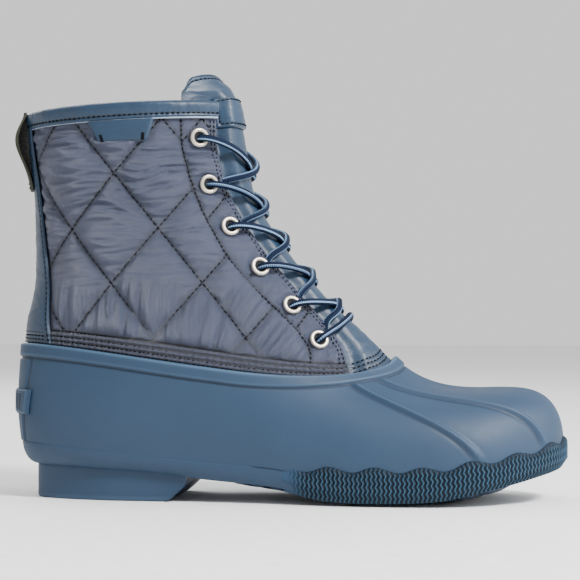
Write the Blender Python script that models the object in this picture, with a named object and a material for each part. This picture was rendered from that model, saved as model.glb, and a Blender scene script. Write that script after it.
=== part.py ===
"""Right duck boot standing on its sole: a quilted shaft and leather tongue, laced over a rubber foot.

+X points to the toe, the outer side of the foot faces -Y, +Z is up, and the floor is at z = 0.
Two forms carry every piece. The body form runs up the boot: level -1 is the seam with the sole,
level 0 the rubber's rim and level 6 the collar. A turn, in degrees, runs round the boot:
0 at the heel, 90 on the outer side, 180 at the toe or the tongue, and 270 on the inner side.
"""

import math
from types import SimpleNamespace

import bmesh
import bpy
import numpy as np

MM = 0.001

# Driving sizes of the boot
LENGTH = 281 * MM
HEIGHT = 197 * MM
BALL_WIDTH = 100 * MM
SHAFT_WIDTH = 76 * MM
SOLE_HEIGHT = 30 * MM
ORIGIN_SHARE = 0.498

# Walls and the gap that neighbours keep
GAP = 0.3 * MM
SHAFT_WALL = 3.0 * MM
TONGUE_WALL = 1.8 * MM
SHELL_WALL = 2.2 * MM
LEATHER_WALL = 1.2 * MM
INSOLE_THICK = 3.0 * MM

# The rubber shell's relief
RIM_HEIGHT = 7.5 * MM
RIM_RAISE = 1.0 * MM
RIM_ROUND = 1.4 * MM
RIM_STEP = 1.0 * MM
RIDGE_TURNS = (145, 159, 201, 215)
RIDGE_WIDTH = 4.0 * MM
RIDGE_RAISE = 1.2 * MM
RIDGE_FADE = 4.0 * MM
STRIP_TURN = 24
STRIP_EDGE_TURN = 1.2
STRIP_RAISE = 0.8 * MM
BADGE_TURN = 30
BADGE_LEVEL = -0.60
BADGE_HEIGHT = 12 * MM
BADGE_THICK = 1.2 * MM

# How far the shaft and tongue reach into the shell
TUCK = 9.0 * MM

# Leather trim
BAND_HEIGHT = 9.5 * MM
BAND_ROUND = 1.2 * MM
PATCH_HEIGHT = 11 * MM
PATCH_TURN = 89
PATCH_HALF_TURNS = (12.5, 18)
STRIP_LEVELS = (0, 1.6, 2.9, 4.2, 5.5)
STRIP_HALF_TURNS = (34, 31, 27.5, 23.5, 19)
KEEPER_HEIGHT = 17 * MM
KEEPER_ABOVE_COLLAR = 3.0 * MM
LOOP_THICK = 1.6 * MM
LOOP_HEIGHT = 36 * MM
LOOP_TURN = 17
LOOP_BOW = 2.8 * MM

# Lacing
EYELET_RADIUS = 5.3 * MM
EYELET_HOLE = 2.6 * MM
EYELET_THICK = 1.5 * MM
EYELET_LIFT = 0.7 * MM
EYELET_SETBACK = 9.8 * MM
LACE_RADIUS = 1.6 * MM
LACE_CLEAR = 0.4 * MM

# The ribbed strip round the forefoot
FOXING_THICK = 1.5 * MM
RIB_PITCH = 4.6 * MM
RIB_DEPTH = 0.9 * MM
RIB_WIGGLE = 0.6 * MM
FOXING_START_TURN = 109
SCALLOP_PITCH = 23 * MM
SCALLOP_DEPTH = 1.3 * MM

# Sole and heel
SOLE_LIP = 0.5 * MM
HEEL_BLOCK_INSET = 6.5 * MM
HEEL_BREAST = 0.347
HEEL_SLANT = 14 * MM
HEEL_ROUND = 1.2 * MM
HEEL_MIDDLE = 0.2
SOLE_SLOPE = 22 * MM
CUP_DRAFT = 1.0 * MM
LUG_DEPTH = 2.8 * MM
LUG_WIDTH = 8.5 * MM
LUG_PITCH = 13 * MM
LUG_COUNT = 7
LUG_FIRST = 0.50
LUG_CHEVRON = 4.0 * MM
LUG_INSET = 12 * MM
LUG_CROWN = 1.6 * MM
LUG_FLAT = 0.5
LUG_ROOT = 1.2 * MM

SMALL_TURN = 0.5
SMALL_LEVEL = 0.02
COLLAR_LEVEL = 6
ROUND_SIDES = 8
EYELET_SIDES = 10
FINE_STEPS = 61
SHAFT_COLUMNS = 27
SHAFT_LEVELS = (0.6, 1.2, 1.9, 2.6, 3.3, 4.0, 4.7)
TONGUE_REVEAL = 14
TONGUE_SPREAD = 0.3
TONGUE_TURN_IN = 4
HEEL_TURNS = (-84, -66, -50, -36, -24, -12, 0, 12, 24, 36, 50, 66, 84)
SHELL_TURNS = (8, 16, 33, 42, 52, 62, 72, 82, 92, 101, 110, 118, 126, 133, 139.5, 150, 154, 165, 172.5)
RIDGE_STEPS = (-1, -0.45, 0.45, 1)


class Table:
    """Rows of numbers under named columns, read smoothly between rows by the first column."""

    def __init__(self, columns, rows, period=0):
        self.names = columns.split()
        values = np.array(rows, float)
        if period:
            before = values[-3:].copy()
            after = values[:3].copy()
            before[:, 0] -= period
            after[:, 0] += period
            values = np.vstack([before, values, after])
        self.values = values
        places = values[:, 0]
        steps = np.diff(values, axis=0) / np.diff(places)[:, None]
        self.slopes = np.vstack([steps[:1], (steps[1:] + steps[:-1]) / 2, steps[-1:]])

    def read(self, place):
        """Each column at a place, a cubic between rows and a straight line beyond the ends."""
        places = self.values[:, 0]
        place = np.asarray(place, float)
        i = np.clip(np.searchsorted(places, place, side="right") - 1, 0, len(places) - 2)
        width = places[i + 1] - places[i]
        inside = np.clip(place, places[0], places[-1])
        t = ((inside - places[i]) / width)[..., None]
        a, b = self.values[i], self.values[i + 1]
        slope_a, slope_b = self.slopes[i] * width[..., None], self.slopes[i + 1] * width[..., None]
        out = (
            a * (1 + 2 * t) * (1 - t) ** 2
            + slope_a * t * (1 - t) ** 2
            + b * t**2 * (3 - 2 * t)
            - slope_b * t**2 * (1 - t)
        )
        past = (place - inside)[..., None]
        out = out + past * np.where(past < 0, self.slopes[0], self.slopes[-1])
        return SimpleNamespace(**{name: out[..., k] for k, name in enumerate(self.names)})


# Sections of the leg, from the rubber's rim to above the tongue. back and crest are shares of
# LENGTH from the heel end, their heights shares of HEIGHT, half a share of SHAFT_WIDTH, widest
# the share of the depth where the section is widest, side_drop and front_drop shares of HEIGHT
# by which the section dips, throat and tongue degrees from the crest to their edges.
LEG = Table(
    "level back back_z crest crest_z half widest side_drop front_drop throat tongue",
    [
        (0, 0.021, 0.391, 0.681, 0.352, 0.505, 0.55, 0.033, 0.044, 39, 52),
        (1, 0.027, 0.458, 0.635, 0.417, 0.484, 0.53, 0.020, 0.024, 30, 46),
        (2, 0.041, 0.547, 0.556, 0.524, 0.463, 0.51, 0.008, 0.010, 27, 44),
        (3, 0.042, 0.670, 0.486, 0.647, 0.455, 0.50, 0.003, 0.000, 31, 47),
        (4, 0.040, 0.772, 0.438, 0.764, 0.460, 0.50, 0.000, 0.000, 33.5, 51),
        (5, 0.031, 0.887, 0.422, 0.880, 0.480, 0.50, -0.002, 0.000, 37, 56),
        (6, 0.027, 0.984, 0.404, 1.007, 0.493, 0.50, -0.004, 0.000, 31, 53),
        (7, 0.026, 1.056, 0.384, 1.068, 0.490, 0.50, -0.004, 0.000, 29, 45),
    ],
)

# Meridians of the foot, round the boot. x is a share of LENGTH and y of BALL_WIDTH where the
# meridian meets the sole; reach and fall are shares of the way from rim to sole for the handle
# at the rim, rise the share of its height for the handle at the sole, and swell_top and
# swell_low shares of BALL_WIDTH by which the two handles stand out.
FOOT = Table(
    "turn x y reach fall rise swell_top swell_low",
    [
        (0, 0.024, 0.000, 0.33, 0.35, 0.35, 0.015, 0.030),
        (30, 0.050, -0.190, 0.33, 0.35, 0.35, 0.015, 0.030),
        (60, 0.164, -0.315, 0.33, 0.35, 0.35, 0.015, 0.030),
        (90, 0.345, -0.355, 0.33, 0.35, 0.35, 0.015, 0.030),
        (112, 0.534, -0.415, 0.35, 0.33, 0.40, 0.020, 0.030),
        (130, 0.701, -0.459, 0.38, 0.36, 0.55, 0.020, 0.035),
        (145, 0.845, -0.415, 0.40, 0.42, 0.76, 0.010, 0.035),
        (159, 0.942, -0.230, 0.42, 0.62, 1.06, 0.000, 0.020),
        (180, 0.977, 0.030, 0.43, 0.80, 1.22, 0.000, 0.015),
        (201, 0.956, 0.245, 0.42, 0.62, 1.06, 0.000, 0.020),
        (215, 0.872, 0.405, 0.40, 0.42, 0.76, 0.010, 0.035),
        (230, 0.719, 0.456, 0.38, 0.36, 0.55, 0.020, 0.035),
        (248, 0.534, 0.360, 0.35, 0.33, 0.40, 0.020, 0.030),
        (270, 0.345, 0.320, 0.33, 0.35, 0.35, 0.015, 0.030),
        (300, 0.164, 0.305, 0.33, 0.35, 0.35, 0.015, 0.030),
        (330, 0.050, 0.190, 0.33, 0.35, 0.35, 0.015, 0.030),
    ],
    period=360,
)

# Heights of the sole along the boot, as shares of SOLE_HEIGHT at shares of LENGTH: the seam with
# the shell, the foot bed, the lower edge of the side, the underside along the middle, and the
# top of the ribbed strip. inset is the share of BALL_WIDTH by which the lower edge is set in.
SOLE = Table(
    "x seam bed edge under foxing inset",
    [
        (0.000, 0.983, 0.767, 0.570, 0.570, 0.600, 0.080),
        (0.150, 0.867, 0.683, 0.540, 0.540, 0.600, 0.060),
        (0.302, 0.723, 0.567, 0.450, 0.460, 0.600, 0.050),
        (0.352, 0.683, 0.527, 0.393, 0.410, 0.600, 0.040),
        (0.502, 0.580, 0.367, 0.267, 0.233, 0.593, 0.025),
        (0.573, 0.433, 0.267, 0.127, 0.100, 0.595, 0.020),
        (0.683, 0.317, 0.217, 0.097, 0.080, 0.600, 0.020),
        (0.776, 0.350, 0.227, 0.143, 0.087, 0.617, 0.020),
        (0.826, 0.400, 0.283, 0.237, 0.153, 0.700, 0.020),
        (0.886, 0.533, 0.400, 0.367, 0.307, 0.790, 0.020),
        (0.932, 0.650, 0.517, 0.477, 0.427, 0.890, 0.020),
        (0.982, 0.800, 0.667, 0.607, 0.567, 1.030, 0.020),
        (1.000, 0.867, 0.717, 0.667, 0.617, 1.070, 0.020),
    ],
)

# The lacing. eyelet is the level of an eyelet, cross the level where two laces cross at the
# crest below it, and dive the level where each goes under the opposite edge.
LACING = Table(
    "pair eyelet cross dive",
    [
        (1, 5.22, 4.74, 4.40),
        (2, 4.25, 3.94, 3.54),
        (3, 3.34, 3.24, 2.80),
        (4, 2.54, 2.56, 2.12),
        (5, 1.80, 1.95, 1.54),
        (6, 1.08, 1.46, 1.00),
    ],
)
PAIRS = range(1, 7)


def point(x, y, z):
    return np.stack(np.broadcast_arrays(x, y, z), axis=-1)


def along_boot(share):
    return LENGTH * (share - ORIGIN_SHARE)


def sole_at(x):
    return SOLE.read(x / LENGTH + ORIGIN_SHARE)


def ease(t):
    """0 to 1 with level ends."""
    t = np.clip(t, 0, 1)
    return t * t * (3 - 2 * t)


def leg(turn, level):
    """The leg form: two half ellipses that meet at the widest place, tilted from back to crest."""
    row = LEG.read(level)
    angle = np.radians(turn)
    depth = np.where(np.cos(angle) > 0, row.widest, 1 - row.widest)
    way = row.widest - depth * np.cos(angle)
    dip = np.abs(np.sin(angle)) * (row.side_drop - row.front_drop * np.cos(angle))
    x = along_boot(row.back + (row.crest - row.back) * way)
    z = HEIGHT * (row.back_z + (row.crest_z - row.back_z) * way - dip)
    return point(x, -SHAFT_WIDTH * row.half * np.sin(angle), z)


def seam_line(turn):
    """Where the foot form meets the sole."""
    row = FOOT.read(np.mod(turn, 360))
    x = along_boot(row.x)
    return point(x, BALL_WIDTH * row.y, SOLE_HEIGHT * sole_at(x).seam)


def outward(turn):
    """The flat direction away from the foot, square to its outline."""
    step = seam_line(np.asarray(turn) + SMALL_TURN) - seam_line(np.asarray(turn) - SMALL_TURN)
    length = np.hypot(step[..., 0], step[..., 1])
    return point(step[..., 1] / length, -step[..., 0] / length, 0.0)


def foot(turn, drop):
    """The foot form: down each meridian by a cubic curve from the rim, drop 0, to the seam, drop 1."""
    row = FOOT.read(np.mod(turn, 360))
    top, low, out = leg(turn, 0.0), seam_line(turn), outward(turn)
    way = low - top
    first = top + point(row.reach, row.reach, row.fall) * way
    first = first + out * (BALL_WIDTH * row.swell_top)[..., None]
    second = low - point(0.0, 0.0, row.rise) * way
    second = second + out * (BALL_WIDTH * row.swell_low)[..., None]
    t = np.asarray(drop, float)[..., None]
    return top * (1 - t) ** 3 + first * 3 * t * (1 - t) ** 2 + second * 3 * t**2 * (1 - t) + low * t**3


def body(turn, level):
    """The whole form: the leg from level 0 up, the foot below it."""
    turn, level = np.broadcast_arrays(np.asarray(turn, float), np.asarray(level, float))
    above = leg(turn, np.maximum(level, 0))
    below = foot(turn, np.maximum(-level, 0))
    return np.where((level >= 0)[..., None], above, below)


def skin(turn, level, out):
    """A point of the form moved out along the form's normal."""
    across = body(turn + SMALL_TURN, level) - body(turn - SMALL_TURN, level)
    upward = body(turn, level + SMALL_LEVEL) - body(turn, level - SMALL_LEVEL)
    normal = np.cross(across, upward)
    normal = normal / np.linalg.norm(normal, axis=-1, keepdims=True)
    return body(turn, level) + normal * np.broadcast_to(out, np.shape(turn))[..., None]


def turn_speed(turn, level):
    """How far the form runs for one degree of turn."""
    step = body(turn + SMALL_TURN, level) - body(turn - SMALL_TURN, level)
    return np.linalg.norm(step, axis=-1) / (2 * SMALL_TURN)


def level_below_rim(turn, distance):
    """The level a given distance down the foot form from the rim."""
    drops = np.linspace(0, 1, FINE_STEPS)
    turn = np.asarray(turn, float)
    line = foot(turn[..., None], drops)
    run = np.linalg.norm(np.diff(line, axis=-2), axis=-1)
    reach = np.concatenate([np.zeros(turn.shape + (1,)), np.cumsum(run, axis=-1)], axis=-1)
    flat = reach.reshape(-1, len(drops))
    found = [-np.interp(distance, row, drops) for row in flat]
    return np.array(found).reshape(turn.shape)


def level_below_collar(turn, distance):
    """The level a given distance down the leg form from the collar."""
    span = np.linalg.norm(leg(turn, COLLAR_LEVEL) - leg(turn, COLLAR_LEVEL - 1), axis=-1)
    return COLLAR_LEVEL - distance / span


def make_material(name, colour, roughness, metallic=0.0):
    material = bpy.data.materials.new(name)
    material.use_nodes = True
    shader = material.node_tree.nodes["Principled BSDF"]
    shader.inputs["Base Color"].default_value = (*colour, 1)
    shader.inputs["Roughness"].default_value = roughness
    shader.inputs["Metallic"].default_value = metallic
    material.diffuse_color = (*colour, 1)
    return material


def add_object(name, points, faces, material):
    mesh = bpy.data.meshes.new(name)
    mesh.from_pydata(np.asarray(points).reshape(-1, 3).tolist(), [], faces)
    outwards = bmesh.new()
    outwards.from_mesh(mesh)
    bmesh.ops.recalc_face_normals(outwards, faces=outwards.faces)
    outwards.to_mesh(mesh)
    outwards.free()
    mesh.materials.append(material)
    mesh.shade_smooth()
    mesh.set_sharp_from_angle(angle=math.radians(40))
    obj = bpy.data.objects.new(name, mesh)
    bpy.context.scene.collection.objects.link(obj)
    return obj


def grid_faces(rows, columns, wrap, start=0, flip=False):
    """Quads of a grid whose points are stored row by row."""
    faces = []
    for r in range(rows - 1):
        for c in range(columns if wrap else columns - 1):
            right = (c + 1) % columns
            a, b = start + r * columns + c, start + r * columns + right
            face = (a, b, b + columns, a + columns)
            faces.append(face[::-1] if flip else face)
    return faces


def add_sheet(name, outer, inner, material, wrap=False):
    """A closed wall between two grids with as many columns. Rows run up and columns by the turn."""
    rows, columns = outer.shape[:2]
    low_rows = inner.shape[0]
    start = rows * columns
    top, inner_top = (rows - 1) * columns, start + (low_rows - 1) * columns
    faces = grid_faces(rows, columns, wrap)
    faces += grid_faces(low_rows, columns, wrap, start, flip=True)
    for c in range(columns if wrap else columns - 1):
        right = (c + 1) % columns
        faces.append((start + c, start + right, right, c))
        faces.append((top + c, top + right, inner_top + right, inner_top + c))
    if not wrap:
        outer_ends = [r * columns for r in range(rows)]
        inner_ends = [start + r * columns for r in range(low_rows)]
        faces.append(tuple(outer_ends + inner_ends[::-1]))
        last = columns - 1
        faces.append(tuple([i + last for i in inner_ends] + [i + last for i in outer_ends[::-1]]))
    points = np.concatenate([outer.reshape(-1, 3), inner.reshape(-1, 3)])
    return add_object(name, points, faces, material)


def add_swept(name, rings, material):
    """A solid from closed rings of points, one after another, with its two ends filled."""
    count, sides = rings.shape[:2]
    faces = grid_faces(count, sides, wrap=True)
    faces.append(tuple(range(sides))[::-1])
    faces.append(tuple((count - 1) * sides + k for k in range(sides)))
    return add_object(name, rings.reshape(-1, 3), faces, material)


def joined(obj, other):
    """Adds another solid to an object and keeps the other as a hidden guide."""
    other.hide_render = True
    other.display_type = "WIRE"
    modifier = obj.modifiers.new(other.name, "BOOLEAN")
    modifier.operation = "UNION"
    modifier.solver = "EXACT"
    modifier.object = other


def shell_columns(level):
    """The turns of the shell's columns at a level: close on both sides of each ridge and strip edge."""
    plain = [*SHELL_TURNS, STRIP_TURN - STRIP_EDGE_TURN, STRIP_TURN + STRIP_EDGE_TURN]
    columns = [0.0, 180.0] + plain + [360 - turn for turn in plain]
    level = np.asarray(level, float)
    found = [np.full(level.shape, float(turn)) for turn in columns]
    for ridge in RIDGE_TURNS:
        speed = turn_speed(np.full(level.shape, float(ridge)), level)
        for step in RIDGE_STEPS:
            found.append(ridge + step * RIDGE_WIDTH / 2 / speed)
    return np.sort(np.stack(found, axis=-1), axis=-1)


def ridge_share(turn, level):
    """1 on a ridge's flat top, 0 beside it, fading out above the ribbed strip."""
    share = np.zeros(np.shape(turn))
    for ridge in RIDGE_TURNS:
        aside = np.abs(turn - ridge) * turn_speed(np.full(np.shape(turn), float(ridge)), level)
        flat = RIDGE_STEPS[-2]
        share = np.maximum(share, 1 - ease((aside / (RIDGE_WIDTH / 2) - flat) / (1 - flat)))
    place = body(turn, level)
    above = place[..., 2] - SOLE_HEIGHT * sole_at(place[..., 0]).foxing
    return share * ease(above / RIDGE_FADE)


def strip_share(turn):
    """1 on the strip up the back of the heel, 0 beside it."""
    aside = np.minimum(np.mod(turn, 360), 360 - np.mod(turn, 360))
    return 1 - ease((aside - STRIP_TURN + STRIP_EDGE_TURN) / (2 * STRIP_EDGE_TURN))


def shell_face(turn, level):
    """The shell's outer face below its rim, with ridges and heel strip."""
    raised = RIDGE_RAISE * ridge_share(turn, level) + STRIP_RAISE * strip_share(turn)
    return skin(turn, level, GAP + SHELL_WALL + raised)


def make_shell(rubber):
    """The moulded foot: one hollow wall, open at its rim and underneath."""
    rim_rows = []
    rim_profile = [
        (0.0, RIM_RAISE * 0.4, 0.0),
        (RIM_ROUND, RIM_RAISE, 0.0),
        (RIM_HEIGHT - RIM_STEP, RIM_RAISE, 0.0),
        (RIM_HEIGHT, 0.0, STRIP_RAISE),
    ]
    for down, proud, strip in rim_profile:
        turns = shell_columns(np.array(-0.05))
        levels = level_below_rim(turns, down)
        raised = proud + strip * strip_share(turns)
        rim_rows.append(skin(turns, levels, GAP + SHELL_WALL + raised))
    low_rows = []
    for share in (0.06, 0.17, 0.30, 0.44, 0.57, 0.69, 0.80, 0.90, 1.0):
        start = level_below_rim(np.array(100.0), RIM_HEIGHT)
        turns = shell_columns(start + (-1 - start) * share)
        edge = level_below_rim(turns, RIM_HEIGHT)
        low_rows.append(shell_face(turns, edge + (-1 - edge) * share))
    outer = np.stack((rim_rows + low_rows)[::-1])
    inner_rows = []
    for level in (-1.0, -0.75, -0.5, -0.2, 0.0):
        turns = shell_columns(np.array(level))
        levels = level_below_rim(turns, TUCK) if level == -0.2 else np.full(turns.shape, level)
        inner_rows.append(skin(turns, levels, GAP))
    inner = np.stack(inner_rows)
    for grid in (outer, inner):
        grid[0, :, 2] = seam_line(shell_columns(np.array(-1.0)))[:, 2]
    return add_sheet("rubber_shell", outer, inner, rubber, wrap=True)


def make_badge(rubber):
    """The plain raised badge across the back of the heel."""
    turns = np.array([-BADGE_TURN, -STRIP_TURN - STRIP_EDGE_TURN, -STRIP_TURN + STRIP_EDGE_TURN, -16, -8, 0])
    turns = np.concatenate([turns, -turns[-2::-1]])
    middle = skin(np.array(0.0), np.array(BADGE_LEVEL), 0.0)
    drops = np.linspace(BADGE_LEVEL + 0.4, BADGE_LEVEL - 0.3, FINE_STEPS)
    heights = skin(np.zeros(FINE_STEPS), drops, 0.0)[:, 2]
    edges = [middle[2] + side * BADGE_HEIGHT / 2 for side in (-1, -0.8, 0.8, 1)]
    levels = -np.interp(edges, heights[::-1], -drops[::-1])
    turn_grid, level_grid = np.meshgrid(turns, levels)
    base = skin(turn_grid, level_grid, GAP * 2 + SHELL_WALL + STRIP_RAISE * strip_share(turn_grid))
    lift = np.full(turn_grid.shape, BADGE_THICK)
    lift[[0, -1]] = BADGE_THICK * 0.5
    lift[:, [0, -1]] = BADGE_THICK * 0.5
    face = skin(turn_grid, level_grid, GAP * 2 + SHELL_WALL + STRIP_RAISE + lift)
    return add_sheet("heel_badge", face, base, rubber)


def band_level(down):
    """Roughly the level a distance below the collar, for the throat's edge there."""
    return COLLAR_LEVEL - down / float(np.linalg.norm(leg(180, COLLAR_LEVEL) - leg(180, COLLAR_LEVEL - 1)))


def throat_turns(levels):
    """Turns of a row of columns from the outer facing's edge round the back to the inner one's."""
    edge = LEG.read(np.maximum(levels, 0)).throat
    share = np.linspace(0, 1, SHAFT_COLUMNS)
    around = 180 + edge[:, None] + (360 - 2 * edge[:, None]) * share
    return around


def make_shaft(nylon):
    """The quilted shaft: one wall, open at collar, throat and underneath."""
    levels = np.array([0.0, *SHAFT_LEVELS, band_level(BAND_HEIGHT), COLLAR_LEVEL])
    turns = throat_turns(levels)
    grid = np.repeat(levels[:, None], SHAFT_COLUMNS, axis=1)
    grid[-2] = level_below_collar(turns[-2], BAND_HEIGHT)
    grid[-1] = level_below_collar(turns[-1], LEATHER_WALL + GAP)
    turns = np.vstack([turns[:1], turns])
    grid = np.vstack([level_below_rim(turns[:1], TUCK), grid])
    set_in = np.where(grid <= 0, -2 * GAP, 0.0)
    return add_sheet("upper", skin(turns, grid, set_in), skin(turns, grid, -SHAFT_WALL), nylon)


def make_collar(leather):
    """The leather cuff folded over the shaft's top edge."""
    out, inside = GAP + LEATHER_WALL, -SHAFT_WALL - GAP
    profile = [
        (BAND_HEIGHT, GAP),
        (BAND_HEIGHT, out),
        (BAND_ROUND, out),
        (0.0, GAP),
        (0.0, inside),
        (BAND_ROUND, inside - LEATHER_WALL),
        (BAND_HEIGHT, inside - LEATHER_WALL),
        (BAND_HEIGHT, inside),
        (LEATHER_WALL, inside),
        (LEATHER_WALL, GAP),
    ]
    rings = []
    for down, away in profile:
        turns = throat_turns(np.array([band_level(down)]))[0]
        rings.append(skin(turns, level_below_collar(turns, down), away))
    return add_swept("collar_band", np.stack(rings, axis=1), leather)


def tongue_out(turn, level):
    """How far the tongue stands from the form: level with it in the throat, set in below the facings."""
    edge = LEG.read(np.maximum(level, 0)).throat
    aside = np.abs(turn - 180)
    hidden = ease((aside - edge + TONGUE_REVEAL) / (TONGUE_REVEAL - TONGUE_TURN_IN))
    free = ease(aside / (180 * TONGUE_SPREAD))
    hidden = hidden + (free - hidden) * ease((level - COLLAR_LEVEL) / 0.5)
    under = SHAFT_WALL + 2 * GAP + (LEATHER_WALL + 2 * GAP) * ease((level - 4.5) / 0.8)
    return -under * hidden


def tongue_turns(levels):
    """Turns of the tongue's columns: its edges, under the facings, where it turns up, and its middle."""
    row = LEG.read(levels)
    reveal = row.throat - TONGUE_REVEAL
    bounds = [row.tongue, (row.tongue + row.throat) / 2, row.throat - TONGUE_TURN_IN, reveal, reveal / 2]
    turns = np.full(levels.shape, 180.0)
    for k, bound in enumerate(bounds):
        turns[:, k] -= bound[:, k]
        turns[:, -1 - k] += bound[:, -1 - k]
    return turns


def make_tongue(leather):
    """The gusseted tongue, from inside the shell's front up past the collar."""
    top = np.array([6.3, 6.95, 7.22, 7.25, 7.12, 7.02])
    top = np.concatenate([top, top[-2::-1]])
    steps = np.array([0.0, *SHAFT_LEVELS, 5.3, 5.8, 6.2])
    levels = np.repeat(steps[:, None], len(top), axis=1)
    for share in (0.33, 0.66, 0.88, 1.0):
        levels = np.vstack([levels, steps[-1] + share * (top - steps[-1])])
    turns = tongue_turns(levels)
    levels = np.vstack([level_below_rim(turns[:1], TUCK), levels])
    turns = np.vstack([turns[:1], turns])
    face = tongue_out(turns, levels)
    lining = face - TONGUE_WALL
    return add_sheet("tongue", skin(turns, levels, face), skin(turns, levels, lining), leather)


def make_keeper(leather):
    """The leather lace keeper sewn across the tongue near its top."""
    shares, rows = np.meshgrid(np.linspace(-1, 1, 5), [0.0, 1.0, 2.0, 3.0])
    down = KEEPER_HEIGHT * (1 - rows / 3) - KEEPER_ABOVE_COLLAR
    levels = level_below_collar(180 + shares, down)
    turns = 180 + shares * (LEG.read(levels).throat - TONGUE_REVEAL)
    base = tongue_out(turns, levels) + 1.5 * GAP
    face = base + LEATHER_WALL
    return add_sheet("tongue_keeper", skin(turns, levels, face), skin(turns, levels, base), leather)


def make_heel_strip(leather):
    """The leather strip that covers the shaft's back seam."""
    levels = np.array([0.04, *SHAFT_LEVELS, band_level(BAND_HEIGHT)])
    half = np.interp(levels, STRIP_LEVELS, STRIP_HALF_TURNS)
    turns = half[:, None] * np.linspace(-1, 1, 7)
    grid = np.repeat(levels[:, None], 7, axis=1)
    grid[-1] = level_below_collar(turns[-1], BAND_HEIGHT + GAP)
    outer = skin(turns, grid, GAP + LEATHER_WALL)
    return add_sheet("heel_strip", outer, skin(turns, grid, 1.3 * GAP), leather)


def make_patch(leather):
    """The leather patch under the cuff on the outer side."""
    turns = PATCH_TURN + np.outer(PATCH_HALF_TURNS, np.linspace(-1, 1, 6))
    down = np.array([[PATCH_HEIGHT], [0.0]]) + BAND_HEIGHT + GAP
    levels = level_below_collar(turns, down)
    face = GAP + LEATHER_WALL
    return add_sheet("side_patch", skin(turns, levels, face), skin(turns, levels, GAP), leather)


def make_pull_loop(webbing):
    """The webbing loop at the back, sewn at both ends, bowed out and flat across between them."""
    across = np.linspace(-1, 1, 5)
    turns, shares = np.meshgrid(LOOP_TURN * across, np.linspace(0, 1, 9))
    levels = level_below_collar(turns, LOOP_HEIGHT * (1 - shares))
    free = np.sin(np.pi * shares**1.3) ** 1.5
    faces = []
    for out in (2 * GAP + LEATHER_WALL, 2 * GAP + LEATHER_WALL + LOOP_THICK):
        face = skin(turns, levels, out + LOOP_BOW * free)
        middle = face[:, len(across) // 2, 0][:, None]
        face[..., 0] += (middle - face[..., 0]) * free
        faces.append(face)
    return add_sheet("pull_loop", faces[1], faces[0], webbing)


def eyelet_place(pair, side):
    """The turn and level of an eyelet. side is -1 on the outer facing and 1 on the inner one."""
    level = float(LACING.read(pair).eyelet)
    edge = 180 + side * float(LEG.read(level).throat)
    turn = edge + side * EYELET_SETBACK / float(turn_speed(np.array(edge), level))
    return turn, level


def make_eyelet(name, pair, side, metal):
    """A rolled ring lying on the shaft."""
    turn, level = eyelet_place(pair, side)
    centre = skin(np.array(turn), np.array(level), EYELET_LIFT)
    normal = skin(np.array(turn), np.array(level), EYELET_LIFT + MM) - centre
    normal = normal / np.linalg.norm(normal)
    across = np.cross(normal, (0.0, 0.0, 1.0))
    across = across / np.linalg.norm(across)
    upward = np.cross(normal, across)
    middle = (EYELET_RADIUS + EYELET_HOLE) / 2
    profile = [
        (EYELET_HOLE, 0),
        (middle, EYELET_THICK),
        (EYELET_RADIUS, EYELET_THICK * 0.4),
        (EYELET_RADIUS, 0),
    ]
    angles = np.linspace(0, 2 * np.pi, EYELET_SIDES, endpoint=False)
    spokes = np.cos(angles)[:, None] * across + np.sin(angles)[:, None] * upward
    rings = np.stack([centre + spokes * radius + normal * high for radius, high in profile], axis=1)
    faces = grid_faces(len(angles), len(profile), wrap=True)
    last = (len(angles) - 1) * len(profile)
    for k in range(len(profile)):
        right = (k + 1) % len(profile)
        faces.append((last + k, last + right, right, k))
    return add_object(name, rings, faces, metal)


def tube_rings(path, radius):
    """Rings of points square to a path."""
    tangent = np.gradient(path, axis=0)
    tangent = tangent / np.linalg.norm(tangent, axis=1, keepdims=True)
    side = np.cross(tangent, (0.0, 0.0, 1.0))
    side = side / np.linalg.norm(side, axis=1, keepdims=True)
    other = np.cross(side, tangent)
    angles = np.linspace(0, 2 * np.pi, ROUND_SIDES, endpoint=False)
    spread = np.cos(angles)[:, None, None] * side + np.sin(angles)[:, None, None] * other
    return path[:, None, :] + radius * np.swapaxes(spread, 0, 1)


def lace_path(pair, side, crosses):
    """From beside an eyelet over the tongue to the opposite facing's edge, or straight across."""
    turn, level = eyelet_place(pair, side)
    row = LACING.read(pair)
    speed = float(turn_speed(np.array(turn), level))
    start = turn - side * (EYELET_RADIUS + LACE_RADIUS * 0.6) / speed
    if crosses:
        end_level = float(row.dive)
        facing = float(LEG.read(end_level).throat)
        short = (2 * LACE_RADIUS + LACE_CLEAR) / float(turn_speed(np.array(180.0), end_level))
        end = 180 - side * (facing - short)
    else:
        end_level = level
        end = 360 - start
    turns = np.linspace(start, end, 8)
    from_start, from_cross, from_end = turns - start, turns - 180, turns - end
    levels = (
        level * from_cross * from_end / ((start - 180) * (start - end))
        + float(row.cross) * from_start * from_end / ((180 - start) * (180 - end))
        + end_level * from_start * from_cross / ((end - start) * (end - 180))
    )
    return skin(turns, levels, LACE_RADIUS + 2 * LACE_CLEAR)


def make_laces(cord):
    """Five crossings, each two laces joined, and the straight bar below them."""
    for pair in PAIRS[:-1]:
        lace = add_swept(f"lace_cross_{pair}", tube_rings(lace_path(pair, -1, True), LACE_RADIUS), cord)
        other = tube_rings(lace_path(pair, 1, True), LACE_RADIUS)
        joined(lace, add_swept(f"lace_guide_{pair}", other, cord))
    bar = tube_rings(lace_path(PAIRS[-1], -1, False), LACE_RADIUS)
    add_swept("lace_bar", bar, cord)


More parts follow.
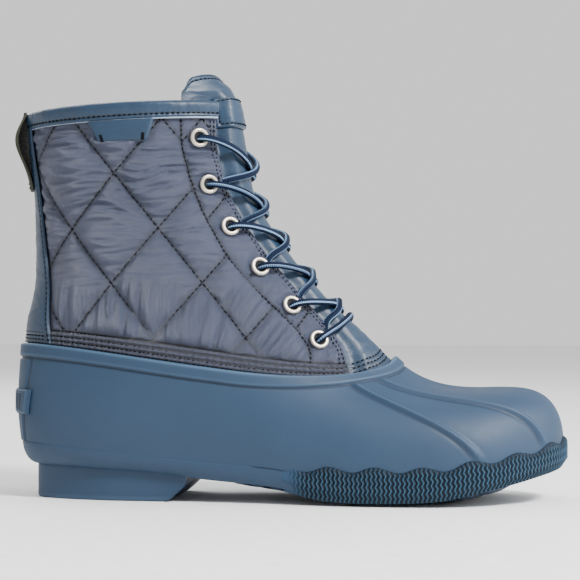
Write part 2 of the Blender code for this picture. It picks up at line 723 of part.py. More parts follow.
def side_line(turn, heights):
    """Points on the outside of shell and sole at given heights, for one turn."""
    turn = np.array(float(turn))
    row = sole_at(seam_line(turn)[0])
    low = sole_edge(turn, 0.0)
    middle = sole_edge(turn, 0.0, SOLE_HEIGHT * (row.seam + row.edge) / 2)
    drops = np.linspace(-1, -0.3, FINE_STEPS)
    wall = skin(np.full(drops.shape, float(turn)), drops, GAP + SHELL_WALL)
    line = np.concatenate([[low], [middle], wall])
    return np.stack([np.interp(heights, line[:, 2], line[:, k]) for k in range(3)], axis=-1)


def make_foxing(ribbed):
    """The ribbed strip round the forefoot, its top edge in low scallops."""
    first, last = FOXING_START_TURN, 360 - FOXING_START_TURN
    fine = np.linspace(first, last, 400)
    edge = seam_line(fine)[:, :2]
    run = np.concatenate([[0], np.cumsum(np.hypot(*np.diff(edge, axis=0).T))])
    ribs = int(round(run[-1] / RIB_PITCH))
    places = np.linspace(0, run[-1], 2 * ribs + 1)
    turns = np.interp(places, run, fine)
    crest = np.arange(len(places)) % 2
    rows = np.linspace(0, 1, 5)
    outer = []
    inner = []
    for place, turn, high in zip(places, turns, crest):
        centre = seam_line(np.array(turn))
        row = sole_at(centre[0])
        scallop = SCALLOP_DEPTH * np.cos(2 * np.pi * (place - run[-1] / 2) / SCALLOP_PITCH)
        top = SOLE_HEIGHT * row.foxing + scallop
        low = SOLE_HEIGHT * row.edge + GAP
        heights = low + (top - low) * rows
        wiggle = RIB_WIGGLE * np.where(np.arange(5) % 2, 1, -1)
        shifted = np.interp(np.clip(place + wiggle, 0, run[-1]), run, fine)
        wall = side_line(turn, heights)
        moved = seam_line(shifted) - centre
        out = outward(np.array(turn))
        face = wall + out * (GAP + FOXING_THICK + RIB_DEPTH * high)
        if 0 < place < run[-1]:
            face[:, :2] += moved[:, :2]
        outer.append(face)
        middle = SOLE_HEIGHT * (row.seam + row.edge) / 2
        backs = np.array([heights[0], middle, (middle + top) / 2, top])
        inner.append(side_line(turn, backs) + out * 2 * GAP)
    outer = np.swapaxes(np.stack(outer), 0, 1)
    inner = np.swapaxes(np.stack(inner), 0, 1)
    return add_sheet("foxing", outer, inner, ribbed)


def sole_edge(turn, inset, height=None):
    """A point of the sole's outline, set in from the shell's outer face, at its lower edge or a height."""
    base = seam_line(turn)
    row = sole_at(base[..., 0])
    away = GAP + SHELL_WALL - inset - (row.inset * BALL_WIDTH if height is None else 0)
    place = base + outward(turn) * np.asarray(away)[..., None]
    place[..., 2] = SOLE_HEIGHT * row.edge if height is None else height
    return place


def ladder(count, start, flip):
    """Faces across a closed ring of points, pairing each point with the one over from it."""
    faces = []
    half = count // 2
    for k in range(half):
        a, b = start + k, start + k + 1
        c, d = start + (count - k - 1) % count, start + (count - k) % count
        corners = (a, b, c, d) if k else (a, b, c)
        if k == half - 1:
            corners = tuple(dict.fromkeys((a, b, c, d)))
        faces.append(corners[::-1] if flip else corners)
    return faces


def sole_ring(turns, inset, line, lift=0.0):
    """The sole's outline set in, lying on one of the sole's lines."""
    ring = sole_edge(turns, inset, 0.0)
    ring[:, 2] = SOLE_HEIGHT * vars(sole_at(ring[:, 0]))[line] + lift
    return ring


def make_outsole(rubber):
    """The sole: a cupped plate, a heel block with a slanted breast, and chevron lugs."""
    turns = shell_columns(np.array(-1.0))
    side = sole_at(seam_line(turns)[:, 0])
    seam = SOLE_HEIGHT * side.seam - GAP
    middle = (seam + SOLE_HEIGHT * side.edge) / 2
    ribbed = np.abs(turns - 180) < 180 - FOXING_START_TURN + 6
    lip = np.where(ribbed, 0.0, SOLE_LIP) - GAP
    cup = SHELL_WALL + 2 * GAP
    rings = [
        sole_ring(turns, SOLE_SLOPE, "under"),
        sole_edge(turns, 0.0),
        sole_edge(turns, -lip, middle),
        sole_edge(turns, -lip, seam),
        sole_edge(turns, cup, seam),
        sole_ring(turns, cup + CUP_DRAFT, "bed"),
    ]
    count = len(turns)
    faces = grid_faces(len(rings), count, wrap=True)
    faces += ladder(count, 0, flip=True)
    faces += ladder(count, (len(rings) - 1) * count, flip=False)
    sole = add_object("outsole", np.stack(rings), faces, rubber)
    joined(sole, make_heel_block(rubber))
    joined(sole, make_lugs(rubber))
    return sole


def make_heel_block(rubber):
    """The heel block: the sole's outline set in, with a slanted breast and a rounded lower edge."""
    outline = sole_edge(np.array(HEEL_TURNS, float), HEEL_BLOCK_INSET, 0.0)
    breast = along_boot(HEEL_BREAST)
    rings = []
    for slant, shrink in ((HEEL_SLANT, HEEL_ROUND / 2), (HEEL_SLANT, 0.0), (0.0, 0.0)):
        ring = outline.copy()
        ring[:, 0] = np.minimum(ring[:, 0], breast - slant)
        away = ring[:, :2] - np.array([along_boot(HEEL_MIDDLE), 0.0])
        ring[:, :2] -= away / np.linalg.norm(away, axis=1, keepdims=True) * shrink
        rings.append(ring)
    rings[1][:, 2] = HEEL_ROUND
    row = sole_at(rings[2][:, 0])
    rings[2][:, 2] = SOLE_HEIGHT * (row.under + row.bed) / 2
    return add_swept("heel_block_guide", np.stack(rings), rubber)


def make_lugs(rubber):
    """Chevron bars under the forefoot, which reach the floor where the sole is flat."""
    solids = bmesh.new()
    for k in range(LUG_COUNT):
        start = along_boot(LUG_FIRST) + k * LUG_PITCH
        share = np.array([-1.0, -LUG_FLAT, 0.0, LUG_FLAT, 1.0])
        fine = np.linspace(20, 180, 200)
        outer_y = np.interp(start, seam_line(fine)[:, 0], seam_line(fine)[:, 1]) + LUG_INSET
        inner_y = np.interp(start, seam_line(360 - fine)[:, 0], seam_line(360 - fine)[:, 1]) - LUG_INSET
        y = (outer_y + inner_y) / 2 + share * (inner_y - outer_y) / 2
        bend = LUG_CHEVRON * (1 - np.abs(share))
        corners = []
        for ahead in (0.0, LUG_WIDTH):
            x = start + bend + ahead
            under = SOLE_HEIGHT * sole_at(x).under
            crown = LUG_CROWN * np.maximum(np.abs(share) - LUG_FLAT, 0) / (1 - LUG_FLAT)
            corners.append(point(x, y, np.maximum(under - LUG_DEPTH, 0) + crown))
            corners.append(point(x, y, under + LUG_ROOT))
        back_low, back_high, front_low, front_high = corners
        ring = np.stack([back_low, front_low, front_high, back_high], axis=1)
        verts = [[solids.verts.new(p) for p in row] for row in ring]
        for a, b in zip(verts[:-1], verts[1:]):
            for i in range(4):
                solids.faces.new((a[i], a[(i + 1) % 4], b[(i + 1) % 4], b[i]))
        solids.faces.new(verts[0][::-1])
        solids.faces.new(verts[-1])
    bmesh.ops.recalc_face_normals(solids, faces=solids.faces)
    guide = add_object("lug_guide", [(0, 0, 0)], [], rubber)
    solids.to_mesh(guide.data)
    solids.free()
    return guide


def make_insole(foam):
    """The insole, lying in the sole's cup."""
    turns = shell_columns(np.array(-1.0))
    count = len(turns)
    inset = SHELL_WALL + 3 * GAP + 1.4 * CUP_DRAFT
    low = sole_ring(turns, inset, "bed", 2 * GAP)
    high = sole_ring(turns, inset, "bed", 2 * GAP + INSOLE_THICK)
    faces = grid_faces(2, count, wrap=True) + ladder(count, 0, True) + ladder(count, count, False)
    return add_object("insole", np.stack([low, high]), faces, foam)


def main():
    for obj in list(bpy.data.objects):
        bpy.data.objects.remove(obj)
    rubber = make_material("slate blue rubber", (0.130, 0.205, 0.290), 0.45)
    dark_rubber = make_material("dark teal rubber", (0.030, 0.085, 0.130), 0.40)
    nylon = make_material("slate grey nylon", (0.150, 0.165, 0.215), 0.55)
    leather = make_material("blue leather", (0.120, 0.235, 0.340), 0.45)
    webbing = make_material("brown webbing", (0.035, 0.028, 0.025), 0.85)
    metal = make_material("cream lacquered metal", (0.780, 0.750, 0.680), 0.30)
    cord = make_material("navy cord", (0.015, 0.025, 0.060), 0.75)
    foam = make_material("insole foam", (0.060, 0.065, 0.075), 0.90)
    make_outsole(rubber)
    make_insole(foam)
    make_shell(rubber)
    make_badge(rubber)
    make_foxing(dark_rubber)
    make_shaft(nylon)
    make_collar(leather)
    make_heel_strip(leather)
    make_patch(leather)
    make_pull_loop(webbing)
    make_tongue(leather)
    make_keeper(leather)
    for pair in PAIRS:
        make_eyelet(f"eyelet_outer_{pair}", pair, -1, metal)
        make_eyelet(f"eyelet_inner_{pair}", pair, 1, metal)
    make_laces(cord)


main()
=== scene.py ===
"""Looks of the right duck boot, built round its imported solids.

+X points to the toe, the outer side of the foot faces -Y, +Z is up, and lengths are in metres.
Every surface is worked out from two numbers: a turn round the boot, in degrees (0 at the heel,
90 on the outer side, 180 at the toe or tongue, 270 inside) and a level up it (-1 at the seam
with the sole, 0 at the rubber's rim, 6 at the collar), moved out along the form's normal.
"""

import math
from types import SimpleNamespace

import bmesh
import bpy
import numpy as np
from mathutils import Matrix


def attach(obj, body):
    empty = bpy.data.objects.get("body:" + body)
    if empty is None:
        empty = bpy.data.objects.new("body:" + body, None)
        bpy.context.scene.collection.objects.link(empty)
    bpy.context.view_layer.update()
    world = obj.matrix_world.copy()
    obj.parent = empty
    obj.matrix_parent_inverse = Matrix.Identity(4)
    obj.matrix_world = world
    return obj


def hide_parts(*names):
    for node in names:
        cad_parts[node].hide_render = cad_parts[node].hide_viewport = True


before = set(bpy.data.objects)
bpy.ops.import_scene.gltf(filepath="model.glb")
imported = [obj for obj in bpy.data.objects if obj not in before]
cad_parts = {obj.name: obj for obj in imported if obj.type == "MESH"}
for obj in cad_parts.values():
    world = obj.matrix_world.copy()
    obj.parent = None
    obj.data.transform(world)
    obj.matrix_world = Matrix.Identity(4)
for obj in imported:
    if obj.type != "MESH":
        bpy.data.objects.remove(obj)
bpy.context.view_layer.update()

MM = 0.001

# Sizes of the boot
LENGTH = 281 * MM
HEIGHT = 197 * MM
BALL_WIDTH = 100 * MM
SHAFT_WIDTH = 76 * MM
SOLE_HEIGHT = 30 * MM
ORIGIN_SHARE = 0.498
GAP = 0.3 * MM
SHAFT_WALL = 3.0 * MM
SHELL_WALL = 2.2 * MM
TONGUE_WALL = 1.8 * MM
LEATHER = 1.2 * MM
COLLAR = 6
LEVEL_STEP = 24 * MM
CUFF_LEVEL_STEP = 23.5 * MM
TONGUE_LEVEL_STEP = 22 * MM

# Rubber foot
RIM_RAISE = 1.0 * MM
RIM_LOW = 5.9 * MM
RIM_GROOVE = 7.4 * MM
STRIP_TOP = 7.6 * MM
RIDGE_TURNS = (139, 153, 207, 221)
RIDGE_HALF = 1.9 * MM
RIDGE_RAISE = 1.5 * MM
STRIP_TURN = 24
STRIP_RAISE = 0.8 * MM
BADGE_TURN = 29
BADGE_HEIGHT = 12 * MM
BADGE_LEVEL = -0.60

# Ribbed strip
RIB_PITCH = 2.2 * MM
RIB_DEPTH = 0.75 * MM
ZIGZAG = 0.55 * MM
ZIGZAG_PERIOD = 3.6 * MM
FOXING_THICK = 1.5 * MM
FOXING_START = 109
SCALLOP_PITCH = 23 * MM
SCALLOP_DEPTH = 1.3 * MM

# Sole and heel
HEEL_BREAST = 0.347
HEEL_SLANT = 14 * MM
HEEL_TOP = 12.5 * MM
AXIS_ENDS = (0.12, 0.88)
TREAD = 2.8 * MM
TREAD_START = 0.44
TREAD_PITCH = 9.2 * MM
TREAD_BARS = 14
TREAD_HALF = 2.6 * MM
TREAD_MARGIN = 13 * MM

# Leather and webbing trim
BAND_HEIGHT = 9.5 * MM
PATCH_HEIGHT = 10.4 * MM
KEEPER_HEIGHT = 17 * MM
KEEPER_ABOVE = 3 * MM
KEEPER_TURN = 28.6
KEEPER_FLARE = 2.2
PATCH_TURN = 89
CUFF_STITCH = 7.6 * MM
CUFF_STITCHES = 100
HEEL_STITCH = 1.6 * MM
HEEL_ROWS = 6.6 * MM
TONGUE_REVEAL = 14
TONGUE_TURN_IN = 4
TONGUE_BORDER = 4.2 * MM
TONGUE_FREE = 6.2
TONGUE_ROWS = 190
TONGUE_TOP_ROWS = 44
WELL_INSIDE = 20 * MM
GUSSET_ROWS = (0.16, 0.30, 0.44)
LOOP_TURN = 17
LOOP_HEIGHT = 36 * MM
LOOP_BOW = 2.8 * MM
LOOP_THICK = 1.6 * MM

# Lacing
EYELET_RADIUS = 4.8 * MM
EYELET_HOLE = 2.85 * MM
EYELET_SETBACK = 9.8 * MM
LACE_RADIUS = 1.7 * MM
PAIRS = range(1, 7)

# Quilting: the crossing at the middle of the outer side, and the two steps between crossings
QUILT_CENTRE = np.array([-60.7, 134.9]) * MM
QUILT_FORWARD = np.array([22.1, -26.9]) * MM
QUILT_BACK = np.array([-24.4, -27.4]) * MM
BACK_SHIFT = 0.2
PUFF = 3.1 * MM
STITCH_LINE = -1.0 * MM
LINE_HOLD = 4.8 * MM
PUCKER_REACH = 1.8 * MM
BEAD_PITCH = 3.4 * MM
THREAD_PITCH = 2.9 * MM
THREAD_RADIUS = 0.37 * MM


class Table:
    """Rows of numbers under named columns, read smoothly between rows by the first column."""

    def __init__(self, columns, rows, period=0):
        self.names = columns.split()
        values = np.array(rows, float)
        if period:
            before, after = values[-3:].copy(), values[:3].copy()
            before[:, 0] -= period
            after[:, 0] += period
            values = np.vstack([before, values, after])
        self.values = values
        steps = np.diff(values, axis=0) / np.diff(values[:, 0])[:, None]
        self.slopes = np.vstack([steps[:1], (steps[1:] + steps[:-1]) / 2, steps[-1:]])

    def read(self, place):
        """Each column at a place: a cubic between rows and a straight line beyond the ends."""
        places = self.values[:, 0]
        place = np.asarray(place, float)
        i = np.clip(np.searchsorted(places, place, side="right") - 1, 0, len(places) - 2)
        width = (places[i + 1] - places[i])[..., None]
        inside = np.clip(place, places[0], places[-1])
        t = (inside - places[i])[..., None] / width
        a, b = self.values[i], self.values[i + 1]
        out = a * (1 + 2 * t) * (1 - t) ** 2 + self.slopes[i] * width * t * (1 - t) ** 2
        out = out + b * t**2 * (3 - 2 * t) - self.slopes[i + 1] * width * t**2 * (1 - t)
        past = (place - inside)[..., None]
        out = out + past * np.where(past < 0, self.slopes[0], self.slopes[-1])
        return SimpleNamespace(**{name: out[..., k] for k, name in enumerate(self.names)})


# Sections of the leg: shares of LENGTH, HEIGHT and SHAFT_WIDTH, and degrees for throat and tongue
LEG = Table(
    "level back back_z crest crest_z half widest side_drop front_drop throat tongue",
    [
        (0, 0.021, 0.391, 0.681, 0.352, 0.505, 0.55, 0.033, 0.044, 39, 52),
        (1, 0.027, 0.458, 0.635, 0.417, 0.484, 0.53, 0.020, 0.024, 30, 46),
        (2, 0.041, 0.547, 0.556, 0.524, 0.463, 0.51, 0.008, 0.010, 27, 44),
        (3, 0.042, 0.670, 0.486, 0.647, 0.455, 0.50, 0.003, 0.000, 31, 47),
        (4, 0.040, 0.772, 0.438, 0.764, 0.460, 0.50, 0.000, 0.000, 33.5, 51),
        (5, 0.031, 0.887, 0.422, 0.880, 0.480, 0.50, -0.002, 0.000, 37, 56),
        (6, 0.027, 0.984, 0.404, 1.007, 0.493, 0.50, -0.004, 0.000, 31, 53),
        (7, 0.026, 1.056, 0.384, 1.068, 0.490, 0.50, -0.004, 0.000, 29, 45),
    ],
)

# Meridians of the foot: shares of LENGTH and BALL_WIDTH, and the handles of their cubic curves
FOOT = Table(
    "turn x y reach fall rise swell_top swell_low",
    [
        (0, 0.024, 0.000, 0.33, 0.35, 0.35, 0.015, 0.030),
        (30, 0.050, -0.190, 0.33, 0.35, 0.35, 0.015, 0.030),
        (60, 0.164, -0.315, 0.33, 0.35, 0.35, 0.015, 0.030),
        (90, 0.345, -0.355, 0.33, 0.35, 0.35, 0.015, 0.030),
        (112, 0.534, -0.415, 0.35, 0.33, 0.40, 0.020, 0.030),
        (130, 0.701, -0.459, 0.38, 0.36, 0.55, 0.020, 0.035),
        (145, 0.845, -0.415, 0.40, 0.42, 0.76, 0.010, 0.035),
        (159, 0.942, -0.230, 0.42, 0.62, 1.06, 0.000, 0.020),
        (180, 0.977, 0.030, 0.43, 0.80, 1.22, 0.000, 0.015),
        (201, 0.956, 0.245, 0.42, 0.62, 1.06, 0.000, 0.020),
        (215, 0.872, 0.405, 0.40, 0.42, 0.76, 0.010, 0.035),
        (230, 0.719, 0.456, 0.38, 0.36, 0.55, 0.020, 0.035),
        (248, 0.534, 0.360, 0.35, 0.33, 0.40, 0.020, 0.030),
        (270, 0.345, 0.320, 0.33, 0.35, 0.35, 0.015, 0.030),
        (300, 0.164, 0.305, 0.33, 0.35, 0.35, 0.015, 0.030),
        (330, 0.050, 0.190, 0.33, 0.35, 0.35, 0.015, 0.030),
    ],
    period=360,
)

# Heights of the sole as shares of SOLE_HEIGHT at shares of LENGTH
SOLE = Table(
    "x seam bed edge under foxing inset",
    [
        (0.000, 0.983, 0.767, 0.570, 0.570, 0.600, 0.080),
        (0.150, 0.867, 0.683, 0.540, 0.540, 0.600, 0.060),
        (0.302, 0.723, 0.567, 0.450, 0.460, 0.600, 0.050),
        (0.352, 0.683, 0.527, 0.393, 0.410, 0.600, 0.040),
        (0.502, 0.580, 0.367, 0.267, 0.233, 0.593, 0.025),
        (0.573, 0.433, 0.267, 0.127, 0.100, 0.595, 0.020),
        (0.683, 0.317, 0.217, 0.097, 0.080, 0.600, 0.020),
        (0.776, 0.350, 0.227, 0.143, 0.087, 0.617, 0.020),
        (0.826, 0.400, 0.283, 0.237, 0.153, 0.700, 0.020),
        (0.886, 0.533, 0.400, 0.367, 0.307, 0.790, 0.020),
        (0.932, 0.650, 0.517, 0.477, 0.427, 0.890, 0.020),
        (0.982, 0.800, 0.667, 0.607, 0.567, 1.030, 0.020),
        (1.000, 0.867, 0.717, 0.667, 0.617, 1.070, 0.020),
    ],
)

# Levels of the lacing: each eyelet, where two laces cross below it, and where each goes under
LACING = Table(
    "pair eyelet cross dive",
    [
        (1, 5.22, 4.60, 4.36),
        (2, 4.25, 3.74, 3.50),
        (3, 3.34, 3.01, 2.76),
        (4, 2.54, 2.31, 2.06),
        (5, 1.80, 1.69, 1.46),
        (6, 1.08, 1.42, 1.00),
    ],
)

# The two ridges of each side: turns at the rim and at the ribbed strip
RIDGES = Table(
    "level first second",
    [(-1, 146.4, 161.5), (-0.6, 141.3, 155.0), (-0.25, 138.9, 151.5), (0, 136.8, 150.5)],
)

# The seam of the eyestay, millimetres behind the throat's edge
EYESTAY = Table(
    "level back",
    [(0.2, 20), (1.0, 17.8), (1.6, 19.5), (2.3, 23.4), (3.3, 21), (4.2, 18.8), (5.6, 19.5)],
)

# Half width of the leather strip up the back of the shaft, in degrees
HEEL_STRIP = Table("level half", [(0, 34), (1.6, 31), (2.9, 27.5), (4.2, 23.5), (5.5, 19)])

# Top edge of the tongue at shares of its half width
TONGUE_TOP = Table(
    "share top",
    [(0, 7.22), (0.2, 7.23), (0.4, 7.24), (0.6, 7.22), (0.76, 7.14), (0.9, 6.96), (1, 6.45)],
)


def point(x, y, z):
    """Coordinates, in step with each other, joined to points."""
    return np.stack(np.broadcast_arrays(x, y, z), axis=-1)


def ease(t):
    """0 to 1 with level ends."""
    t = np.clip(t, 0, 1)
    return t * t * (3 - 2 * t)


def bump(t):
    """A round hump: 1 at t = 0, level and 0 from t = 1 on, either way."""
    return ease(1 - np.abs(t))


def rounded(t):
    """A quarter of a circle: 0 at t = 0, rising steeply, level at 1 from t = 1 on."""
    return np.sqrt(np.clip(1 - (1 - np.clip(t, 0, 1)) ** 2, 0, 1))


def near(distance, width):
    """1 at no distance, falling off on both sides as exp(-(distance / width) squared)."""
    return np.exp(-((distance / width) ** 2))


def half_turn(turn):
    """Turns of the inner side as those of the outer side."""
    return np.where(turn > 180, 360 - turn, turn)


def along_boot(share):
    """A share of the boot's length as a place on the X axis."""
    return LENGTH * (share - ORIGIN_SHARE)


def sole_at(x):
    """The row of the SOLE table at a place on the X axis."""
    return SOLE.read(x / LENGTH + ORIGIN_SHARE)


def leg(turn, level):
    """The leg form: two half ellipses that meet at the widest place, tilted from back to crest."""
    row = LEG.read(level)
    angle = np.radians(turn)
    depth = np.where(np.cos(angle) > 0, row.widest, 1 - row.widest)
    way = row.widest - depth * np.cos(angle)
    dip = np.abs(np.sin(angle)) * (row.side_drop - row.front_drop * np.cos(angle))
    x = along_boot(row.back + (row.crest - row.back) * way)
    z = HEIGHT * (row.back_z + (row.crest_z - row.back_z) * way - dip)
    return point(x, -SHAFT_WIDTH * row.half * np.sin(angle), z)


def seam_line(turn):
    """Where the foot form meets the sole."""
    row = FOOT.read(np.mod(turn, 360))
    x = along_boot(row.x)
    return point(x, BALL_WIDTH * row.y, SOLE_HEIGHT * sole_at(x).seam)


def outward(turn):
    """The flat direction away from the foot, square to its outline."""
    step = seam_line(np.asarray(turn) + 0.5) - seam_line(np.asarray(turn) - 0.5)
    length = np.hypot(step[..., 0], step[..., 1])
    return point(step[..., 1] / length, -step[..., 0] / length, 0.0)


def foot(turn, drop):
    """The foot form: down each meridian by a cubic curve from the rim, drop 0, to the seam, drop 1."""
    row = FOOT.read(np.mod(turn, 360))
    top, low, out = leg(turn, 0.0), seam_line(turn), outward(turn)
    way = low - top
    first = top + point(row.reach, row.reach, row.fall) * way + out * (BALL_WIDTH * row.swell_top)[..., None]
    second = low - point(0.0, 0.0, row.rise) * way + out * (BALL_WIDTH * row.swell_low)[..., None]
    t = np.asarray(drop, float)[..., None]
    return top * (1 - t) ** 3 + first * 3 * t * (1 - t) ** 2 + second * 3 * t**2 * (1 - t) + low * t**3


def body(turn, level):
    """The whole form: the leg from level 0 up, the foot below it."""
    turn, level = np.broadcast_arrays(np.asarray(turn, float), np.asarray(level, float))
    above = leg(turn, np.maximum(level, 0))
    below = foot(turn, np.maximum(-level, 0))
    return np.where((level >= 0)[..., None], above, below)


def normal_at(turn, level):
    """The form's outward normal, from the cross product of its two directions."""
    across = body(turn + 0.5, level) - body(turn - 0.5, level)
    upward = body(turn, level + 0.02) - body(turn, level - 0.02)
    normal = np.cross(across, upward)
    return normal / np.linalg.norm(normal, axis=-1, keepdims=True)


def skin(turn, level, out):
    """A point of the form moved out along its normal."""
    turn, level = np.broadcast_arrays(np.asarray(turn, float), np.asarray(level, float))
    return body(turn, level) + normal_at(turn, level) * np.broadcast_to(out, turn.shape)[..., None]


def lying(turn, level, out):
    """Points of the form moved out, and the normals there, for thread that lies on them."""
    return skin(turn, level, out), normal_at(turn, level)


def turn_speed(turn, level):
    """How far the form runs for one degree of turn."""
    return np.linalg.norm(body(turn + 0.5, level) - body(turn - 0.5, level), axis=-1)


class Ruler:
    """Measures the way up each column of a form, counted from one level.

    turn_at gives the turns of the columns at a level."""

    def __init__(self, turn_at, low, high, start):
        self.levels = np.linspace(low, high, 260)
        points = body(turn_at(self.levels[:, None]), self.levels[:, None])
        run = np.linalg.norm(np.diff(points, axis=0), axis=-1).cumsum(axis=0)
        run = np.vstack([np.zeros(run.shape[1]), run])
        begin = np.array([np.interp(start, self.levels, column) for column in run.T])
        self.run = run - begin

    def level(self, distances):
        """The level of each column at each distance, for a column of distances or a whole grid."""
        distances = np.broadcast_to(distances, (len(distances), self.run.shape[1]))
        columns = [np.interp(d, run, self.levels) for d, run in zip(distances.T, self.run.T)]
        return np.stack(columns, axis=1)

    def distance(self, levels):
        """The way along each column at a grid of levels."""
        columns = [np.interp(l, self.levels, run) for l, run in zip(levels.T, self.run.T)]
        return np.stack(columns, axis=1)


def run_along(points):
    """The distance along each row of a grid of points, from its first column."""
    steps = np.linalg.norm(np.diff(points, axis=1), axis=-1)
    return np.concatenate([np.zeros((len(points), 1)), np.cumsum(steps, axis=1)], axis=1)


def read_line(places, run, points):
    """Points of a line, straight between those given, at places of its run."""
    return np.stack([np.interp(places, run, points[:, k]) for k in range(3)], axis=-1)


def path_run(path):
    """The distance along a path at each of its points."""
    return np.concatenate([[0], np.cumsum(np.linalg.norm(np.diff(path, axis=0), axis=1))])


def noise(x, y, seed):
    """Smooth noise from -1 to 1: random slopes at whole numbers, blended between them."""
    slopes = np.random.default_rng(seed).uniform(0, 2 * np.pi, (64, 64))
    xi, yi = np.floor(x).astype(int), np.floor(y).astype(int)
    fx, fy = x - xi, y - yi
    u, v = fx**3 * (fx * (6 * fx - 15) + 10), fy**3 * (fy * (6 * fy - 15) + 10)

    def corner(i, j):
        angle = slopes[(xi + i) % 64, (yi + j) % 64]
        return np.cos(angle) * (fx - i) + np.sin(angle) * (fy - j)

    low = corner(0, 0) * (1 - u) + corner(1, 0) * u
    high = corner(0, 1) * (1 - u) + corner(1, 1) * u
    return 1.5 * (low * (1 - v) + high * v)


def grid_quads(rows, columns, wrap=False, start=0, flip=False):
    """Quads of a grid whose points are stored row by row."""
    r = np.arange(rows - 1)[:, None] * columns + start
    c = np.arange(columns if wrap else columns - 1)[None, :]
    right = (c + 1) % columns
    quads = np.stack([r + c, r + right, r + right + columns, r + c + columns], axis=-1).reshape(-1, 4)
    return (quads[:, ::-1] if flip else quads).tolist()


def closed_tube(rows, sides):
    """Quads between rings of points, and a face over each end."""
    last = (rows - 1) * sides
    return grid_quads(rows, sides, wrap=True) + [list(range(sides)), [last + k for k in range(sides)]]


def capped_rings(rows, count, flip=False):
    """Quads between rings of points; the first and last ring are closed from side to side."""
    faces = grid_quads(rows, count, wrap=True)
    for start, turned in ((0, False), ((rows - 1) * count, flip)):
        for k in range(count // 2):
            ring = (k, k + 1, (count - k - 1) % count, (count - k) % count)
            corners = list(dict.fromkeys(start + corner for corner in ring))
            if len(corners) > 2:
                faces.append(corners[::-1] if turned else corners)
    return faces


def copied(faces, each, times):
    """The faces of one mesh, repeated for copies of its points, each of them so many points."""
    return [[k + n * each for k in face] for n in range(times) for face in faces]


def add_piece(name, points, faces, material, marks=None, uv=None, sharp=50):
    """A mesh object from points and faces, with marks as attributes of its points and a map in metres."""
    points = np.asarray(points, float).reshape(-1, 3)
    mesh = bpy.data.meshes.new(name)
    mesh.from_pydata(points.tolist(), [], faces)
    work = bmesh.new()
    work.from_mesh(mesh)
    bmesh.ops.recalc_face_normals(work, faces=work.faces)
    work.to_mesh(mesh)
    work.free()
    for mark, values in (marks or {}).items():
        values = np.asarray(values, np.float32).ravel()
        padded = np.zeros(len(points), np.float32)
        padded[: len(values)] = values
        mesh.attributes.new(mark, "FLOAT", "POINT").data.foreach_set("value", padded)
    if uv is not None:
        corners = np.zeros(len(mesh.loops), np.int32)
        mesh.loops.foreach_get("vertex_index", corners)
        flat = np.zeros((len(points), 2), np.float32)
        given = np.asarray(uv, np.float32).reshape(-1, 2)
        flat[: len(given)] = given
        flat[len(given) :] = given[-1]
        layer = mesh.uv_layers.new(name="Cloth")
        layer.data.foreach_set("uv", flat[corners].ravel())
    mesh.materials.append(material)
    mesh.shade_smooth()
    mesh.set_sharp_from_angle(angle=math.radians(sharp))
    piece = bpy.data.objects.new(name, mesh)
    bpy.context.scene.collection.objects.link(piece)
    return piece


def add_wall(name, outer, inner, material, wrap=False, cuts=None, **extra):
    """A closed wall between two grids with as many columns; the inner one may have fewer rows.

    cuts are the outer rows that the inner ones face, evenly spread if they aren't given."""
    rows, columns = outer.shape[:2]
    low_rows = inner.shape[0]
    start = rows * columns
    faces = grid_quads(rows, columns, wrap) + grid_quads(low_rows, columns, wrap, start, flip=True)
    top, inner_top = (rows - 1) * columns, start + (low_rows - 1) * columns
    for c in range(columns if wrap else columns - 1):
        right = (c + 1) % columns
        faces.append((start + c, start + right, right, c))
        faces.append((top + c, top + right, inner_top + right, inner_top + c))
    if not wrap:
        if cuts is None:
            cuts = np.linspace(0, rows - 1, low_rows).round().astype(int)
        for k in range(low_rows - 1):
            for side in (0, columns - 1):
                ring = [r * columns + side for r in range(cuts[k], cuts[k + 1] + 1)]
                ring += [start + (k + 1) * columns + side, start + k * columns + side]
                faces.append(ring if side else ring[::-1])
    points = np.concatenate([outer.reshape(-1, 3), inner.reshape(-1, 3)])
    return add_piece(name, points, faces, material, **extra)


def carried(path, tangent):
    """A direction square to a path, carried along it without twist by two reflections a step."""
    first = np.cross(tangent[0], (0.31, 0.17, 0.93))
    sides = [first / np.linalg.norm(first)]
    for k in range(len(path) - 1):
        step = path[k + 1] - path[k]
        size = step @ step
        side = sides[-1] - step * (2 / size * (step @ sides[-1]))
        turned = tangent[k] - step * (2 / size * (step @ tangent[k]))
        fix = tangent[k + 1] - turned
        side = side - fix * (2 / max(fix @ fix, 1e-18) * (fix @ side))
        sides.append(side / np.linalg.norm(side))
    return np.array(sides)


def add_tube(name, path, radius, material, sides=12, **extra):
    """A round tube: each ring is the path's point plus radius times the cosine and sine of two
    directions square to the path. radius is one number, or one for each ring."""
    tangent = np.gradient(path, axis=0)
    tangent /= np.linalg.norm(tangent, axis=1, keepdims=True)
    side = carried(path, tangent)
    other = np.cross(side, tangent)
    around = np.linspace(0, 1, sides, endpoint=False)
    angle = (2 * np.pi * around)[None, :, None]
    spread = np.cos(angle) * other[:, None] + np.sin(angle) * side[:, None]
    rings = path[:, None] + spread * np.broadcast_to(radius, len(path))[:, None, None]
    uv = np.stack(np.broadcast_arrays(around[None, :], path_run(path)[:, None]), axis=-1)
    return add_piece(name, rings, closed_tube(len(path), sides), material, uv=uv, **extra)


